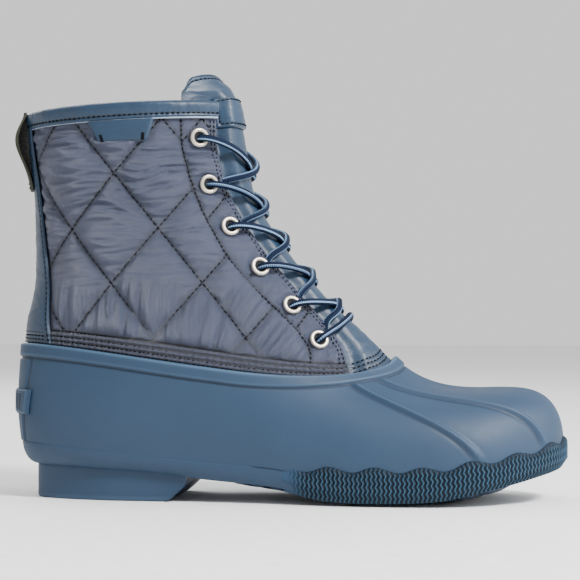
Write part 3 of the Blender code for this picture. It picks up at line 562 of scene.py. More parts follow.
def along_path(path, normals, pitch):
    """Places spaced evenly along a path, with the path's direction and the surface's normal there."""
    run = path_run(path)
    count = max(int(run[-1] / pitch), 1)
    stops = (np.arange(count) + 0.5) * run[-1] / count
    tangent = read_line(stops + pitch / 4, run, path) - read_line(stops - pitch / 4, run, path)
    tangent /= np.linalg.norm(tangent, axis=1, keepdims=True) + 1e-12
    normal = read_line(stops, run, normals)
    normal /= np.linalg.norm(normal, axis=1, keepdims=True) + 1e-12
    return read_line(stops, run, path), tangent, normal


def add_stitches(
    name, lines, material_slot, pitch=THREAD_PITCH, fill=0.72, radius=THREAD_RADIUS, lift=0.25 * MM
):
    """Rows of thread: each stitch is a short bead whose ends dive into the cloth, all in one mesh."""
    share = np.array([-1.0, -0.8, 0.0, 0.8, 1.0])
    sides = 6
    angle = 2 * np.pi * np.arange(sides) / sides
    thick = radius * np.sqrt(1 - 0.85 * share**4)
    height = lift - (lift + 1.1 * radius) * share**4
    points = []
    for path, normals in lines:
        centre, tangent, normal = along_path(path, normals, pitch)
        across = np.cross(tangent, normal)
        way = share * pitch * fill / 2
        spine = centre[:, None] + tangent[:, None] * way[None, :, None]
        spine = spine + normal[:, None] * height[None, :, None]
        ring = np.cos(angle)[None, None, :, None] * normal[:, None, None]
        ring = ring + np.sin(angle)[None, None, :, None] * across[:, None, None]
        points.append((spine[:, :, None] + ring * thick[None, :, None, None]).reshape(-1, 3))
    points = np.concatenate(points)
    each = len(share) * sides
    faces = copied(closed_tube(len(share), sides), each, len(points) // each)
    return dress(add_piece(name, points, faces, MATERIALS.thread), material_slot)


class Sock:
    """A socket of a material's node. Sums and products of sockets and numbers add Math nodes."""

    def __init__(self, tree, socket=None):
        self.tree = tree
        self.socket = socket

    def node(self, kind, settings=None, out=0, **values):
        """Any node, from its type, its settings and the values or links of its sockets, by name or i0, i1."""
        made = self.tree.nodes.new(kind)
        for key, value in (settings or {}).items():
            setattr(made, key, value)
        for key, value in values.items():
            numbered = key[0] == "i" and key[1:].isdigit()
            target = made.inputs[int(key[1:])] if numbered else made.inputs[key.replace("_", " ")]
            if isinstance(value, Sock):
                self.tree.links.new(value.socket, target)
            else:
                target.default_value = value
        return Sock(self.tree, made.outputs[out])

    def math(self, operation, a, b=0.0):
        return self.node("ShaderNodeMath", {"operation": operation}, i0=a, i1=b)

    def __add__(self, other):
        return self.math("ADD", self, other)

    def __sub__(self, other):
        return self.math("SUBTRACT", self, other)

    def __rsub__(self, other):
        return self.math("SUBTRACT", other, self)

    def __mul__(self, other):
        return self.math("MULTIPLY", self, other)

    __radd__ = __add__
    __rmul__ = __mul__

    def sine(self):
        return self.math("SINE", self)

    def between(self, low, high):
        """0 below low, 1 above high, smooth between them."""
        settings = {"interpolation_type": "SMOOTHSTEP"}
        return self.node("ShaderNodeMapRange", settings, Value=self, From_Min=low, From_Max=high)

    def colours(self, low, high):
        """A colour from this share between two colours, which may be links."""
        settings = {"data_type": "RGBA"}
        low = low if isinstance(low, Sock) else (*low, 1)
        high = high if isinstance(high, Sock) else (*high, 1)
        return self.node("ShaderNodeMix", settings, out=2, i0=self, i6=low, i7=high)


def srgb(red, green, blue):
    """A colour of the screen, 0 to 255, as linear light."""
    share = np.array([red, green, blue]) / 255
    return tuple(np.where(share <= 0.04045, share / 12.92, ((share + 0.055) / 1.055) ** 2.4).tolist())


def new_material(name, **constants):
    """A material with its Principled shader's constant sockets set; returns it and a socket to write with."""
    material = bpy.data.materials.new(name)
    material.use_nodes = True
    shader = material.node_tree.nodes["Principled BSDF"]
    for key, value in constants.items():
        shader.inputs[key.replace("_", " ")].default_value = value
    return material, Sock(material.node_tree), shader


def place_of(ink):
    """The place on the object, in metres."""
    return ink.node("ShaderNodeTexCoord", out=3)


def map_of(ink):
    """The place on the piece's map."""
    return ink.node("ShaderNodeTexCoord", out=2)


def map_parts(ink):
    """The two numbers of the piece's map, across it and along it."""
    place = map_of(ink)
    return [ink.node("ShaderNodeSeparateXYZ", out=k, Vector=place) for k in (0, 1)]


def mark_of(ink, name):
    """A mark that the mesh carries at its points."""
    return ink.node("ShaderNodeAttribute", {"attribute_name": name}, out=2)


def grain(ink, place, scale, detail=3.0, rough=0.55):
    """Noise from 0 to 1 on a place; scale is in waves to a metre."""
    return ink.node("ShaderNodeTexNoise", Vector=place, Scale=scale, Detail=detail, Roughness=rough)


def stretch(ink, place, x, y, z):
    """A place multiplied by a factor along each axis."""
    return ink.node("ShaderNodeMapping", Vector=place, Scale=(x, y, z))


def raised(ink, shader, height, distance, strength=1.0):
    """Feeds a height to the shader's normal through a Bump node."""
    made = ink.node("ShaderNodeBump", Height=height, Distance=distance, Strength=strength)
    ink.tree.links.new(made.socket, shader.inputs["Normal"])


def feed(ink, shader, **values):
    """Links values to the shader's sockets by name."""
    for key, value in values.items():
        ink.tree.links.new(value.socket, shader.inputs[key.replace("_", " ")])


def rubber_material():
    """Matte moulded rubber: an even blue with faint cloudiness, a fine skin, lighter edges (painted
    highlights on the rim, the ridges and the badge, and a lighter band along the heel block's foot) and
    painted shade in grooves.
    """
    material, ink, shader = new_material("blue_rubber", Specular_IOR_Level=0.36)
    place = place_of(ink)
    cloud = grain(ink, place, 28.0, 4.0)
    edge = mark_of(ink, "edge")
    tone = cloud.colours(srgb(29, 50, 72), srgb(36, 58, 81))
    # Lighter along marked edges: painted highlights, and the heel block's lighter foot.
    tone = edge.colours(tone, srgb(66, 92, 117))
    groove = mark_of(ink, "groove")
    # Darker in marked grooves and hollows: painted shade.
    tone = groove.colours(tone, srgb(12, 22, 35))
    feed(ink, shader, Base_Color=tone, Roughness=0.50 + 0.14 * grain(ink, place, 160.0))
    raised(ink, shader, grain(ink, place, 1500.0, 2.0) + 0.8 * grain(ink, place, 330.0), 0.00006, 0.8)
    return material


def rib_material():
    """Dark teal rubber with painted highlights along the tops of its ribs and painted shade between them."""
    material, ink, shader = new_material("teal_rubber", Specular_IOR_Level=0.22)
    place = place_of(ink)
    high = mark_of(ink, "rib")
    # The rib mark paints shade between the ribs and highlights on their crests.
    tone = high.between(0.1, 0.8).colours(srgb(2, 14, 24), srgb(12, 36, 54))
    tone = high.between(0.8, 1.0).colours(tone, srgb(44, 76, 96))
    tone = mark_of(ink, "fade").colours(tone, srgb(39, 62, 86))
    feed(ink, shader, Base_Color=tone, Roughness=0.55 + 0.2 * grain(ink, place, 240.0))
    raised(ink, shader, grain(ink, place, 1400.0, 2.0), 0.00005, 0.6)
    return material


def nylon_material():
    """Slate nylon with a satin sheen: fine crinkles, a plain weave, and painted shade in the stitched grooves
    and the quilting's valleys.
    """
    material, ink, shader = new_material(
        "quilted_nylon", Specular_IOR_Level=0.75, Sheen_Weight=0.06, Sheen_Roughness=0.4
    )
    place, cloth = place_of(ink), map_of(ink)
    cloud = grain(ink, place, 45.0, 4.0)
    tone = cloud.colours(srgb(34, 42, 63), srgb(47, 57, 84))
    # Painted shade in stitched grooves, quilting valleys and between the band's beads.
    tone = mark_of(ink, "groove").colours(tone, srgb(12, 13, 22))
    feed(ink, shader, Base_Color=tone, Roughness=0.29 + 0.14 * grain(ink, place, 300.0))
    flat = grain(ink, stretch(ink, cloth, 90.0, 420.0, 1.0), 1.0, 4.0, 0.6)
    upright = grain(ink, stretch(ink, cloth, 520.0, 80.0, 1.0), 1.0, 4.0, 0.6)
    turned = mark_of(ink, "upright")
    crinkle = flat * (1 - turned) + upright * turned
    weave = stretch(ink, cloth, 2600.0, 2600.0, 1.0)
    threads = ink.node("ShaderNodeTexWave", {"bands_direction": "X"}, out=1, Vector=weave, Scale=1.0)
    rows = ink.node("ShaderNodeTexWave", {"bands_direction": "Y"}, out=1, Vector=weave, Scale=1.0)
    raised(ink, shader, crinkle + 0.05 * (threads + rows), 0.0011, 0.85)
    return material


def leather_material(name, low, high, rough=0.36, pebble=0.00016):
    """Smooth coated leather: pebbled grain, fine creases, a soft coat, and painted shade in its stitched
    grooves.
    """
    material, ink, shader = new_material(name, Specular_IOR_Level=0.3, Coat_Roughness=0.4)
    place = place_of(ink)
    cloud = grain(ink, place, 60.0, 5.0)
    tone = cloud.colours(low, high)
    # Painted shade in the marked grooves.
    tone = mark_of(ink, "groove").colours(tone, srgb(6, 13, 22))
    cells = ink.node("ShaderNodeTexVoronoi", {"feature": "SMOOTH_F1"}, Vector=place, Scale=1250.0)
    creases = grain(ink, stretch(ink, place, 1.0, 1.0, 2.4), 210.0, 6.0, 0.62)
    feed(ink, shader, Base_Color=tone, Roughness=rough + 0.16 * creases, Coat_Weight=0.36 - 0.24 * cloud)
    raised(ink, shader, cells * 0.6 + creases * 1.5, pebble, 0.9)
    return material


def plain_material(name, colour, rough, metal=0.0, scale=800.0, depth=0.00004, spec=0.5):
    """A small finish: one colour with a faint change of tone and a fine surface."""
    material, ink, shader = new_material(name, Metallic=metal, Specular_IOR_Level=spec)
    place = place_of(ink)
    darker = tuple(c * 0.78 for c in colour)
    tone = grain(ink, place, scale / 6, 4.0).colours(darker, colour)
    feed(ink, shader, Base_Color=tone, Roughness=rough + 0.12 * grain(ink, place, scale / 3))
    raised(ink, shader, grain(ink, place, scale, 3.0), depth, 0.8)
    return material


def lace_material():
    """Round braid: dark navy strands that cross, with three light blue stripes along it, darker in the
    weave's hollows as painted shade.
    """
    material, ink, shader = new_material("lace_braid", Roughness=0.75, Specular_IOR_Level=0.12)
    around, run = map_parts(ink)
    wave, lean = run * (2 * math.pi / (1.8 * MM)), around * (2 * math.pi * 4)
    weave = ((wave + lean).sine() * (wave - lean).sine()) * 0.5 + 0.5
    stripe = (around * (2 * math.pi * 3) + 0.9).sine().between(0.45, 0.8)
    # Both tones follow the weave's height: darker in the hollows between strands, painted shade.
    tone = weave.between(0.2, 0.9).colours(srgb(2, 6, 20), srgb(15, 31, 58))
    light = weave.between(0.1, 0.8).colours(srgb(15, 31, 58), srgb(122, 152, 184))
    feed(ink, shader, Base_Color=stripe.colours(tone, light))
    raised(ink, shader, weave, 0.00025, 0.9)
    return material


def webbing_material():
    """Woven webbing: brown ribs across it, darker between them as painted shade, with olive edges."""
    material, ink, shader = new_material("loop_webbing", Roughness=0.8, Specular_IOR_Level=0.3)
    across, along = map_parts(ink)
    ribs = (along * (2 * math.pi / (1.1 * MM))).sine() * 0.5 + 0.5
    ends = (across * (2 * math.pi / (0.9 * MM))).sine() * 0.5 + 0.5
    weave = ribs * (0.5 + 0.5 * ends)
    # The tone follows the weave's height: darker between the ribs, painted shade.
    tone = weave.colours(srgb(12, 9, 9), srgb(40, 33, 30))
    edge = mark_of(ink, "edge").colours(tone, srgb(52, 52, 43))
    feed(ink, shader, Base_Color=edge)
    raised(ink, shader, weave, 0.0003, 0.8)
    return material


def felt_material(name, colour):
    """Brushed felt: short soft fibres in every direction."""
    material, ink, shader = new_material(name, Roughness=0.95, Specular_IOR_Level=0.2, Sheen_Weight=0.4)
    place = place_of(ink)
    fibres = grain(ink, place, 900.0, 6.0, 0.7)
    feed(ink, shader, Base_Color=fibres.colours(tuple(c * 0.6 for c in colour), colour))
    raised(ink, shader, fibres, 0.0004, 0.9)
    return material


MATERIALS = SimpleNamespace(
    rubber=rubber_material(),
    ribs=rib_material(),
    nylon=nylon_material(),
    leather=leather_material("blue_leather", srgb(17, 38, 58), srgb(28, 53, 77)),
    piping=plain_material("pale_piping", srgb(150, 164, 184), 0.4),
    thread=plain_material("navy_thread", srgb(3, 4, 9), 0.8, spec=0.15),
    lace=lace_material(),
    webbing=webbing_material(),
    metal=plain_material("cream_lacquer", srgb(190, 181, 168), 0.26, metal=0.7, scale=700.0, depth=0.00012),
    # Near-black tubes inside the eyelets' holes: painted shade.
    tube=plain_material("eyelet_shade", srgb(9, 9, 12), 0.8),
    felt=felt_material("sock_felt", srgb(120, 124, 134)),
    lining=felt_material("shaft_lining", srgb(92, 98, 110)),
)


def dress(piece, material_slot, *nodes):
    """Hangs a piece on the boot and hides the plain solids that it stands for."""
    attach(piece, "root")
    if nodes:
        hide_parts(*nodes)
    return piece


def shell_turns(count):
    """Turns of the shell's columns, closer together at the ridges, the strip's edges and the toe."""
    fine = np.linspace(0, 360, 7201)
    density = 1 + 1.3 * bump((fine - 180) / 70)
    for ridge in RIDGE_TURNS:
        density += 2.2 * bump((fine - ridge) / 9)
    for edge in (STRIP_TURN, 360 - STRIP_TURN):
        density += 5 * bump((fine - edge) / 2.5)
    run = np.cumsum(density)
    run = (run - run[0]) / (run[-1] - run[0])
    return np.interp(np.arange(count) / count, run, fine)


def ridge_sides(turn, level):
    """Signed distance to the nearest ridge, towards the toe, in metres."""
    row = RIDGES.read(level)
    nearest = np.full(np.shape(turn), 1.0)
    folded = half_turn(turn)
    for ridge in (row.first, row.second):
        aside = (folded - ridge) * turn_speed(ridge, level)
        nearest = np.where(np.abs(aside) < np.abs(nearest), aside, nearest)
    return nearest


def strip_share(turn):
    """1 on the strip up the back of the heel, 0 beside it."""
    aside = np.minimum(np.mod(turn, 360), 360 - np.mod(turn, 360))
    return 1 - ease((aside - STRIP_TURN + 0.9) / 1.8)


def make_shell():
    """The rubber foot: a wall from the rim to the seam.

    Its outer face stands out from the form by its wall, plus a rounded rim band above a groove,
    plus soft ridges and the heel strip, which fade out above the ribbed strip."""
    turns = shell_turns(600)
    ruler = Ruler(lambda level: turns[None, :] + 0 * level, -1, 0, 0)
    rim = np.array([0, 0.25, 0.6, 1.0, 1.5, 2.4, 3.6, 4.8, 5.8, 6.3, 6.7, 7.0, 7.3, 7.6, 8.0, 8.5, 9.2]) * MM
    rim_levels = ruler.level(-rim[:, None])
    share = np.linspace(0, 1, 96)[1:, None]
    levels = np.vstack([rim_levels, rim_levels[-1] + (-1 - rim_levels[-1]) * share])
    grid = np.broadcast_to(turns, levels.shape)
    down = -ruler.distance(levels)
    band = rounded(down / (1.5 * MM))
    band = band * (1 - ease((down - RIM_LOW) / (1.3 * MM)))
    groove = bump((down - RIM_GROOVE) / (0.9 * MM))
    aside = ridge_sides(grid, levels)
    place = body(grid, levels)
    above = place[..., 2] - SOLE_HEIGHT * sole_at(place[..., 0]).foxing
    fade = ease((above + 1 * MM) / (6 * MM)) * ease((down - 7 * MM) / (2.5 * MM))
    ridge = bump(aside / (1.35 * RIDGE_HALF)) * RIDGE_RAISE
    low_side = bump((aside + 1.65 * RIDGE_HALF) / (1.7 * MM))
    high_side = bump((aside - 1.4 * RIDGE_HALF) / (1.0 * MM))
    ridge = (ridge - 0.3 * MM * low_side - 0.15 * MM * high_side) * fade
    strip = strip_share(grid) * ease((down - STRIP_TOP) / (1 * MM)) * STRIP_RAISE
    ripple = 0.10 * MM * noise(grid / 14, levels * 4, 3)
    out = GAP + SHELL_WALL + band * RIM_RAISE - 0.3 * MM * groove + ridge + strip + ripple
    out = out - 0.6 * MM * (1 - ease(down / (0.5 * MM)))
    outer = skin(grid, levels, out)[::-1]
    outer[0, :, 2] = seam_line(turns)[:, 2]
    inner_levels = np.array([-1.0, -0.8, -0.6, -0.4, -0.2, -0.08, 0.0])[:, None]
    inner = skin(np.broadcast_to(turns, (7, len(turns))), inner_levels + 0 * turns, GAP)
    inner[0, :, 2] = seam_line(turns)[:, 2]
    # Painted highlights: lighter along the rim band's rounded top and lower edge, along the ridges' crests
    # and on their toe-side flanks.
    edge = bump((down - 0.7 * MM) / (1.2 * MM)) * 0.7 + bump((down - RIM_LOW) / (0.8 * MM)) * 0.25
    edge = edge + 0.25 * bump(aside / (0.8 * MM)) * fade + 0.25 * high_side * fade
    # Painted shade: darker along the heel strip's edges, in the groove under the rim band and along the
    # ridges' flanks, most on their heel side.
    beside = np.minimum(grid, 360 - grid)
    strip_edge_shade = bump((beside - STRIP_TURN - 0.9) / 1.1) * ease((down - STRIP_TOP) / (1 * MM))
    dark = np.clip(0.6 * strip_edge_shade + 0.75 * groove + 0.5 * low_side * fade + 0.2 * high_side * fade, 0, 1)
    marks = {"edge": edge[::-1], "groove": dark[::-1]}
    shell = add_wall("rubber_foot", outer, inner, MATERIALS.rubber, wrap=True, marks=marks)
    return dress(shell, "rubber", "rubber_shell")


def make_badge():
    """The small raised badge across the heel: a rounded block with plain ribs."""
    turns = np.linspace(-BADGE_TURN, BADGE_TURN, 121)
    middle = skin(0.0, BADGE_LEVEL, 0.0)[2]
    drops = np.linspace(-0.2, -0.9, 71)
    heights = skin(np.zeros(71), drops, 0.0)[:, 2]
    share = np.linspace(-1, 1, 41)
    levels = np.interp(middle + share * BADGE_HEIGHT / 2, heights[::-1], drops[::-1])
    grid, rows = np.meshgrid(turns, levels)
    across, up = np.meshgrid(turns / BADGE_TURN, share)
    rounding = ease((1 - np.abs(up)) / 0.22) * ease((1 - np.abs(across)) / 0.10)
    ribs = 0.5 + 0.5 * np.cos(np.pi * 2 * 9 * across)
    ribs = ribs * (np.abs(up) < 0.62) * (np.abs(across) < 0.84)
    seat = 2 * GAP + SHELL_WALL + STRIP_RAISE * strip_share(grid)
    high = 2 * GAP + SHELL_WALL + STRIP_RAISE + 1.1 * MM * (0.35 + 0.65 * rounding) - 0.45 * MM * ribs
    base = skin(grid, rows, seat)
    # Painted highlight along the block's rounded edges and painted shade in the hollows between its ribs.
    marks = {"edge": 0.4 * rounding * (1 - ribs) * (rounding < 0.95), "groove": 0.75 * ribs}
    face = skin(grid, rows, np.maximum(high, seat + 0.2 * MM))
    badge = add_wall("heel_badge_face", face, base[::8], MATERIALS.rubber, marks=marks)
    return dress(badge, "rubber", "heel_badge")


def sole_edge(turn, inset, height=None):
    """A point of the sole's outline set in from the shell's face, at its lower edge or a height."""
    base = seam_line(turn)
    row = sole_at(base[..., 0])
    away = GAP + SHELL_WALL - inset - (row.inset * BALL_WIDTH if height is None else 0)
    place = base + outward(turn) * np.asarray(away)[..., None]
    place[..., 2] = SOLE_HEIGHT * row.edge if height is None else height
    return place


def side_line(turns, heights):
    """Points on the outside of shell and sole: for each turn, at each of its heights."""
    drops = np.linspace(-1, -0.3, 48)
    wall = skin(turns[:, None], drops[None, :], GAP + SHELL_WALL)
    row = sole_at(seam_line(turns)[:, 0])
    low = sole_edge(turns, 0.0)[:, None]
    middle = sole_edge(turns, 0.0, SOLE_HEIGHT * (row.seam + row.edge) / 2)[:, None]
    lines = np.concatenate([low, middle, wall], axis=1)
    return np.stack([read_line(high, line[:, 2], line) for line, high in zip(lines, heights)])


def make_foxing():
    """The ribbed strip: ribs that run down in zigzags, under a scalloped top edge.

    Height over the strip's back: thickness, plus a rounded wave whose phase is the way along
    the edge plus a zigzag of the way up, fading in at the ends."""
    first, last = FOXING_START, 360 - FOXING_START
    fine = np.linspace(first, last, 1200)
    edge = seam_line(fine) + outward(fine) * (GAP + SHELL_WALL)
    run = path_run(edge[:, :2])
    ribs = int(round(run[-1] / RIB_PITCH))
    columns, rows = 8 * ribs + 1, 40
    places = np.linspace(0, run[-1], columns)
    turns = np.interp(places, run, fine)
    row = sole_at(seam_line(turns)[:, 0])
    scallop = SCALLOP_DEPTH * np.cos(2 * np.pi * (places - run[-1] / 2) / SCALLOP_PITCH)
    top = SOLE_HEIGHT * row.foxing + scallop
    low = np.maximum(SOLE_HEIGHT * row.edge - 1.2 * MM, 0.5 * MM)
    share = np.linspace(0, 1, rows)
    heights = low[:, None] + (top - low)[:, None] * share
    wall = side_line(turns, heights)
    wall[..., 2] = heights
    out = outward(turns)[:, None]
    up = (heights - low[:, None]) / ZIGZAG_PERIOD
    zigzag = ZIGZAG * 2 / np.pi * np.arcsin(np.sin(2 * np.pi * up) * 0.96)
    wave = 0.5 + 0.5 * np.cos(2 * np.pi * (places[:, None] + zigzag) / (run[-1] / ribs))
    wave = wave**0.8
    ends = ease(np.minimum(places, run[-1] - places) / (13 * MM))
    crown = np.clip((top[:, None] - heights) / (2.6 * MM), 0, 1)
    footing = np.clip((heights - low[:, None]) / (1.6 * MM), 0, 1)
    rolled = (1 - (1 - crown) ** 2) * np.sqrt(1 - (1 - footing) ** 2 * 0.7)
    thick = (FOXING_THICK * 0.75 * (0.15 + 0.85 * rolled)) * (0.08 + 0.92 * ends[:, None])
    rib = RIB_DEPTH * wave * ends[:, None] * np.minimum(1, crown * 2.5 + 0.2)
    thick = thick + rib * (0.5 + 0.5 * footing)
    outer = wall + out * (0.12 * MM - 0.4 * MM * (1 - ends[:, None]) + thick)[..., None]
    inner = wall[:, ::13] - out * 0.6 * MM
    outer, inner = np.swapaxes(outer, 0, 1), np.swapaxes(inner, 0, 1)
    # The rib mark follows each rib's height, for painted highlights on its crest and painted shade between
    # ribs; fade marks the smooth ends.
    marks = {"rib": (wave * (0.7 + 0.3 * crown)).T, "fade": (1 - ends[:, None] + 0 * wave).T}
    strip = add_wall("ribbed_strip", outer, inner, MATERIALS.ribs, marks=marks, sharp=80)
    return dress(strip, "rib_rubber", "foxing")


def sides_at(x, low):
    """The y of the seam's outer and inner side at places along the boot, from a turn on."""
    turns = np.linspace(low, 180, 300)
    return [np.interp(x, line[:, 0], line[:, 1]) for line in (seam_line(turns), seam_line(360 - turns))]


def axis_at(outline):
    """For each point of an outline, the place along the boot that it shrinks towards."""
    return np.clip(outline[:, 0], *(along_boot(end) for end in AXIS_ENDS))


def make_sole():
    """The sole: its rounded side from the seam to the lower edge, and its plain underside."""
    turns = shell_turns(420)
    side = sole_at(seam_line(turns)[:, 0])
    seam, edge = SOLE_HEIGHT * side.seam + 0.02 * MM, SOLE_HEIGHT * side.edge
    ribbed = np.abs(turns - 180) < 180 - FOXING_START + 6
    lip = np.where(ribbed, -0.3 * MM, 0.12 * MM)
    rings = [sole_edge(turns, 2.8 * MM - lip, seam), sole_edge(turns, 0.15 * MM - lip, seam)]
    for angle in np.linspace(0.02, np.pi / 2, 14):
        share = 1 - np.sin(angle)
        settle = (1 - np.cos(angle)) * side.inset * BALL_WIDTH
        rings.append(sole_edge(turns, settle - lip * np.cos(angle), edge + (seam - edge) * share))
    outline = sole_edge(turns, 0.8 * MM)
    axis_x = axis_at(outline)
    outer_y, inner_y = sides_at(axis_x, 5)
    axis = point(axis_x, (outer_y + inner_y) / 2, 0.0)
    for share in np.linspace(0, 0.985, 30):
        ring = outline + (axis - outline) * share
        row = sole_at(ring[:, 0])
        ring[:, 2] = SOLE_HEIGHT * (row.edge + (row.under - row.edge) * ease(share / 0.4))
        ring[:, 2] -= 0.2 * MM * ease(share / 0.05)
        rings.append(ring)
    faces = capped_rings(len(rings), len(turns), flip=True)
    sole = add_piece("sole_plate", np.stack(rings), faces, MATERIALS.rubber, sharp=70)
    return dress(sole, "rubber", "outsole")


def heel_ring(height, inset):
    """The heel block's outline at a height: the sole's lower edge, cut by the slanted breast."""
    turns = np.linspace(-88, 88, 321)
    ring = sole_edge(turns, inset + 0.15 * MM)
    ring[:, 2] = height
    breast = along_boot(HEEL_BREAST) - HEEL_SLANT * (1 - np.clip(height / HEEL_TOP, 0, 1)) - inset
    soft = 0.8 * MM
    ring[:, 0] = breast - soft * np.log1p(np.exp(np.minimum((breast - ring[:, 0]) / soft, 300)))
    return ring


def make_heel():
    """The heel block: rings of its outline from the floor up into the sole, with a rounded foot."""
    heights = [(0.2, 2.0), (0.0, 1.4), (0.08, 0.7), (0.5, 0.2)]
    heights += [(high, 0.0) for high in (1.3, 3, 5, 7, 9, 11, 12.5, 14, 16)] + [(18, 0.4), (20, 2.0)]
    rings = np.stack([heel_ring(high * MM, inset * MM) for high, inset in heights])
    count = rings.shape[1]
    faces = closed_tube(len(rings), count)
    # Lighter towards the block's rounded foot, in the rubber's edge colour.
    edge = np.interp([high for high, _ in heights], [0, 0.3, 1.2, 3], [0, 0.3, 0.25, 0])
    marks = {"edge": np.repeat(edge, count)}
    heel = add_piece("heel_block", rings, faces, MATERIALS.rubber, marks=marks, sharp=40)
    return dress(heel, "rubber")


def make_tread():
    """Chevron bars from the arch to the toe, swept across the sole with bevelled edges, in one mesh."""
    points, faces = [], []
    share = np.linspace(-1, 1, 33)
    profile = [(-1, 0.6), (-1, -0.75), (-0.72, -1), (0.72, -1), (1, -0.75), (1, 0.6)]
    count = len(share)
    bend = 6 * MM * (1 - np.sqrt(share**2 + 0.01)) - 5 * MM * share**2
    for bar in range(TREAD_BARS):
        start = along_boot(TREAD_START) + bar * TREAD_PITCH
        outer_y, inner_y = sides_at(start, 20)
        outer_y, inner_y = outer_y + TREAD_MARGIN, inner_y - TREAD_MARGIN
        if inner_y - outer_y < 12 * MM:
            continue
        y = (outer_y + inner_y) / 2 + share * (inner_y - outer_y) / 2
        base = len(points) * count
        for across, down in profile:
            x = start + bend + across * TREAD_HALF
            under = SOLE_HEIGHT * sole_at(x).under
            floor = np.maximum(under - TREAD, 0.0) + 1.4 * MM * np.clip(np.abs(share) - 0.6, 0, 1) / 0.4
            z = np.where(down > 0, under + 0.6 * MM, floor + (down + 1) * TREAD / 2)
            points.append(point(x, y, z))
        rows = [base + a * count for a in range(len(profile))]
        for row, after in zip(rows, rows[1:] + rows[:1]):
            faces += [[row + i, row + i + 1, after + i + 1, after + i] for i in range(count - 1)]
        faces += [rows, [row + count - 1 for row in rows]]
    tread = add_piece("tread_bars", np.concatenate(points), faces, MATERIALS.rubber, sharp=35)
    return dress(tread, "rubber")


def make_insole():
    """The felt insole: the sole's cup outline, softly domed, from the edge in to the middle line."""
    turns = shell_turns(300)
    outline = sole_edge(turns, SHELL_WALL + 3 * GAP + 1.6 * MM, 0.0)
    axis = point(axis_at(outline), 0.0, 0.0)
    steps = [(0.0, 0.5), (0.0, 2.6), (0.012, 3.0)] + [(s, 3.3) for s in np.linspace(0.03, 0.985, 22)]
    rings = []
    for share, lift in steps:
        ring = outline + (axis - outline) * share
        dome = 0.6 * MM * bump(1 - share) * (share > 0)
        ring[:, 2] = SOLE_HEIGHT * sole_at(ring[:, 0]).bed + lift * MM + dome
        rings.append(ring)
    faces = capped_rings(len(rings), len(turns))
    return dress(add_piece("felt_insole", np.stack(rings), faces, MATERIALS.felt), "sock_lining", "insole")


def throat_turns(level, share):
    """Turns round the shaft's back, from the inner facing's edge, share 0, to the outer one's, share 1."""
    edge = LEG.read(np.maximum(level, 0)).throat
    return 180 + edge + (360 - 2 * edge) * share


class Shaft:
    """Where things are on the shaft: for a half turn from back to front and a level, how far along and up."""

    def __init__(self):
        self.turns = np.linspace(0, 180, 361)
        self.levels = np.linspace(0, 6.4, 257)
        points = leg(self.turns[None, :], self.levels[:, None])
        run = run_along(points)
        side = np.argmin(np.abs(self.turns - 90))
        self.along = run - run[:, side : side + 1] + points[:, side : side + 1, 0]
        self.high = points[..., 2]

    def look(self, table, turn, level):
        """Reads a table of this half turn and level, straight between its places."""
        i = np.clip(turn / self.turns[1], 0, len(self.turns) - 1.001)
        j = np.clip(level / self.levels[1], 0, len(self.levels) - 1.001)
        a, b = i.astype(int), j.astype(int)
        u, v = i - a, j - b
        low = table[b, a] * (1 - u) + table[b, a + 1] * u
        high = table[b + 1, a] * (1 - u) + table[b + 1, a + 1] * u
        return low * (1 - v) + high * v

    def place(self, turn, level):
        """How far along and how far up a half turn and level are."""
        return self.look(self.along, turn, level), self.look(self.high, turn, level)

    def find(self, along, high):
        """The turn and level of given places along and up, by fourteen steps of correction."""
        turn, level = np.full(along.shape, 90.0), np.full(along.shape, 3.0)
        for _ in range(14):
            level = level + (high - self.look(self.high, turn, level)) / (28 * MM)
            level = np.clip(level, 0, 6.3)
            turn = turn + (along - self.look(self.along, turn, level)) / (0.75 * MM)
            turn = np.clip(turn, 0.5, 179.5)
        return turn, level


SHAFT = Shaft()


def quilt_share(along, high, shifted):
    """Place in the lattice of quilting: whole numbers of either share are stitched lines."""
    step = np.stack([QUILT_FORWARD, QUILT_BACK], axis=1)
    back = np.linalg.inv(step)
    x, z = along - QUILT_CENTRE[0], high - QUILT_CENTRE[1]
    first, second = back[0, 0] * x + back[0, 1] * z, back[1, 0] * x + back[1, 1] * z
    first = first + BACK_SHIFT * ease(-1 - first)
    return first + 0.55 * shifted, second + 0.45 * shifted


def quilt_distance(along, high, shifted):
    """Distances to the two families of quilting lines."""
    first, second = quilt_share(along, high, shifted)
    area = abs(np.cross(QUILT_FORWARD, QUILT_BACK))
    one = np.abs(first - np.round(first)) * area / np.linalg.norm(QUILT_BACK)
    two = np.abs(second - np.round(second)) * area / np.linalg.norm(QUILT_FORWARD)
    return one, two


def band_top(turn):
    """Height over the rim of the stitched band round the foot of the shaft."""
    return (6.6 + 2.0 * np.sin(np.radians(np.clip(turn, 0, 180))) ** 2) * MM


def eyelet_gap(half, level):
    """The distance from the rim of the nearest eyelet, for half turns and levels."""
    gap = np.full(np.shape(half), 1.0)
    for pair in PAIRS:
        pair_turn, pair_level = eyelet_place(pair, -1)
        aside, above = (half - pair_turn) * turn_speed(half, level), (level - pair_level) * LEVEL_STEP
        gap = np.minimum(gap, np.hypot(aside, above) - EYELET_RADIUS)
    return gap


def edges_of(turn, level):
    """A place's height over the rim and its distance behind the throat's edge."""
    edge = 180 - LEG.read(level).throat
    up = np.linalg.norm(leg(turn, level) - leg(turn, 0.0), axis=-1)
    return up, (edge - half_turn(turn)) * turn_speed(edge, level)


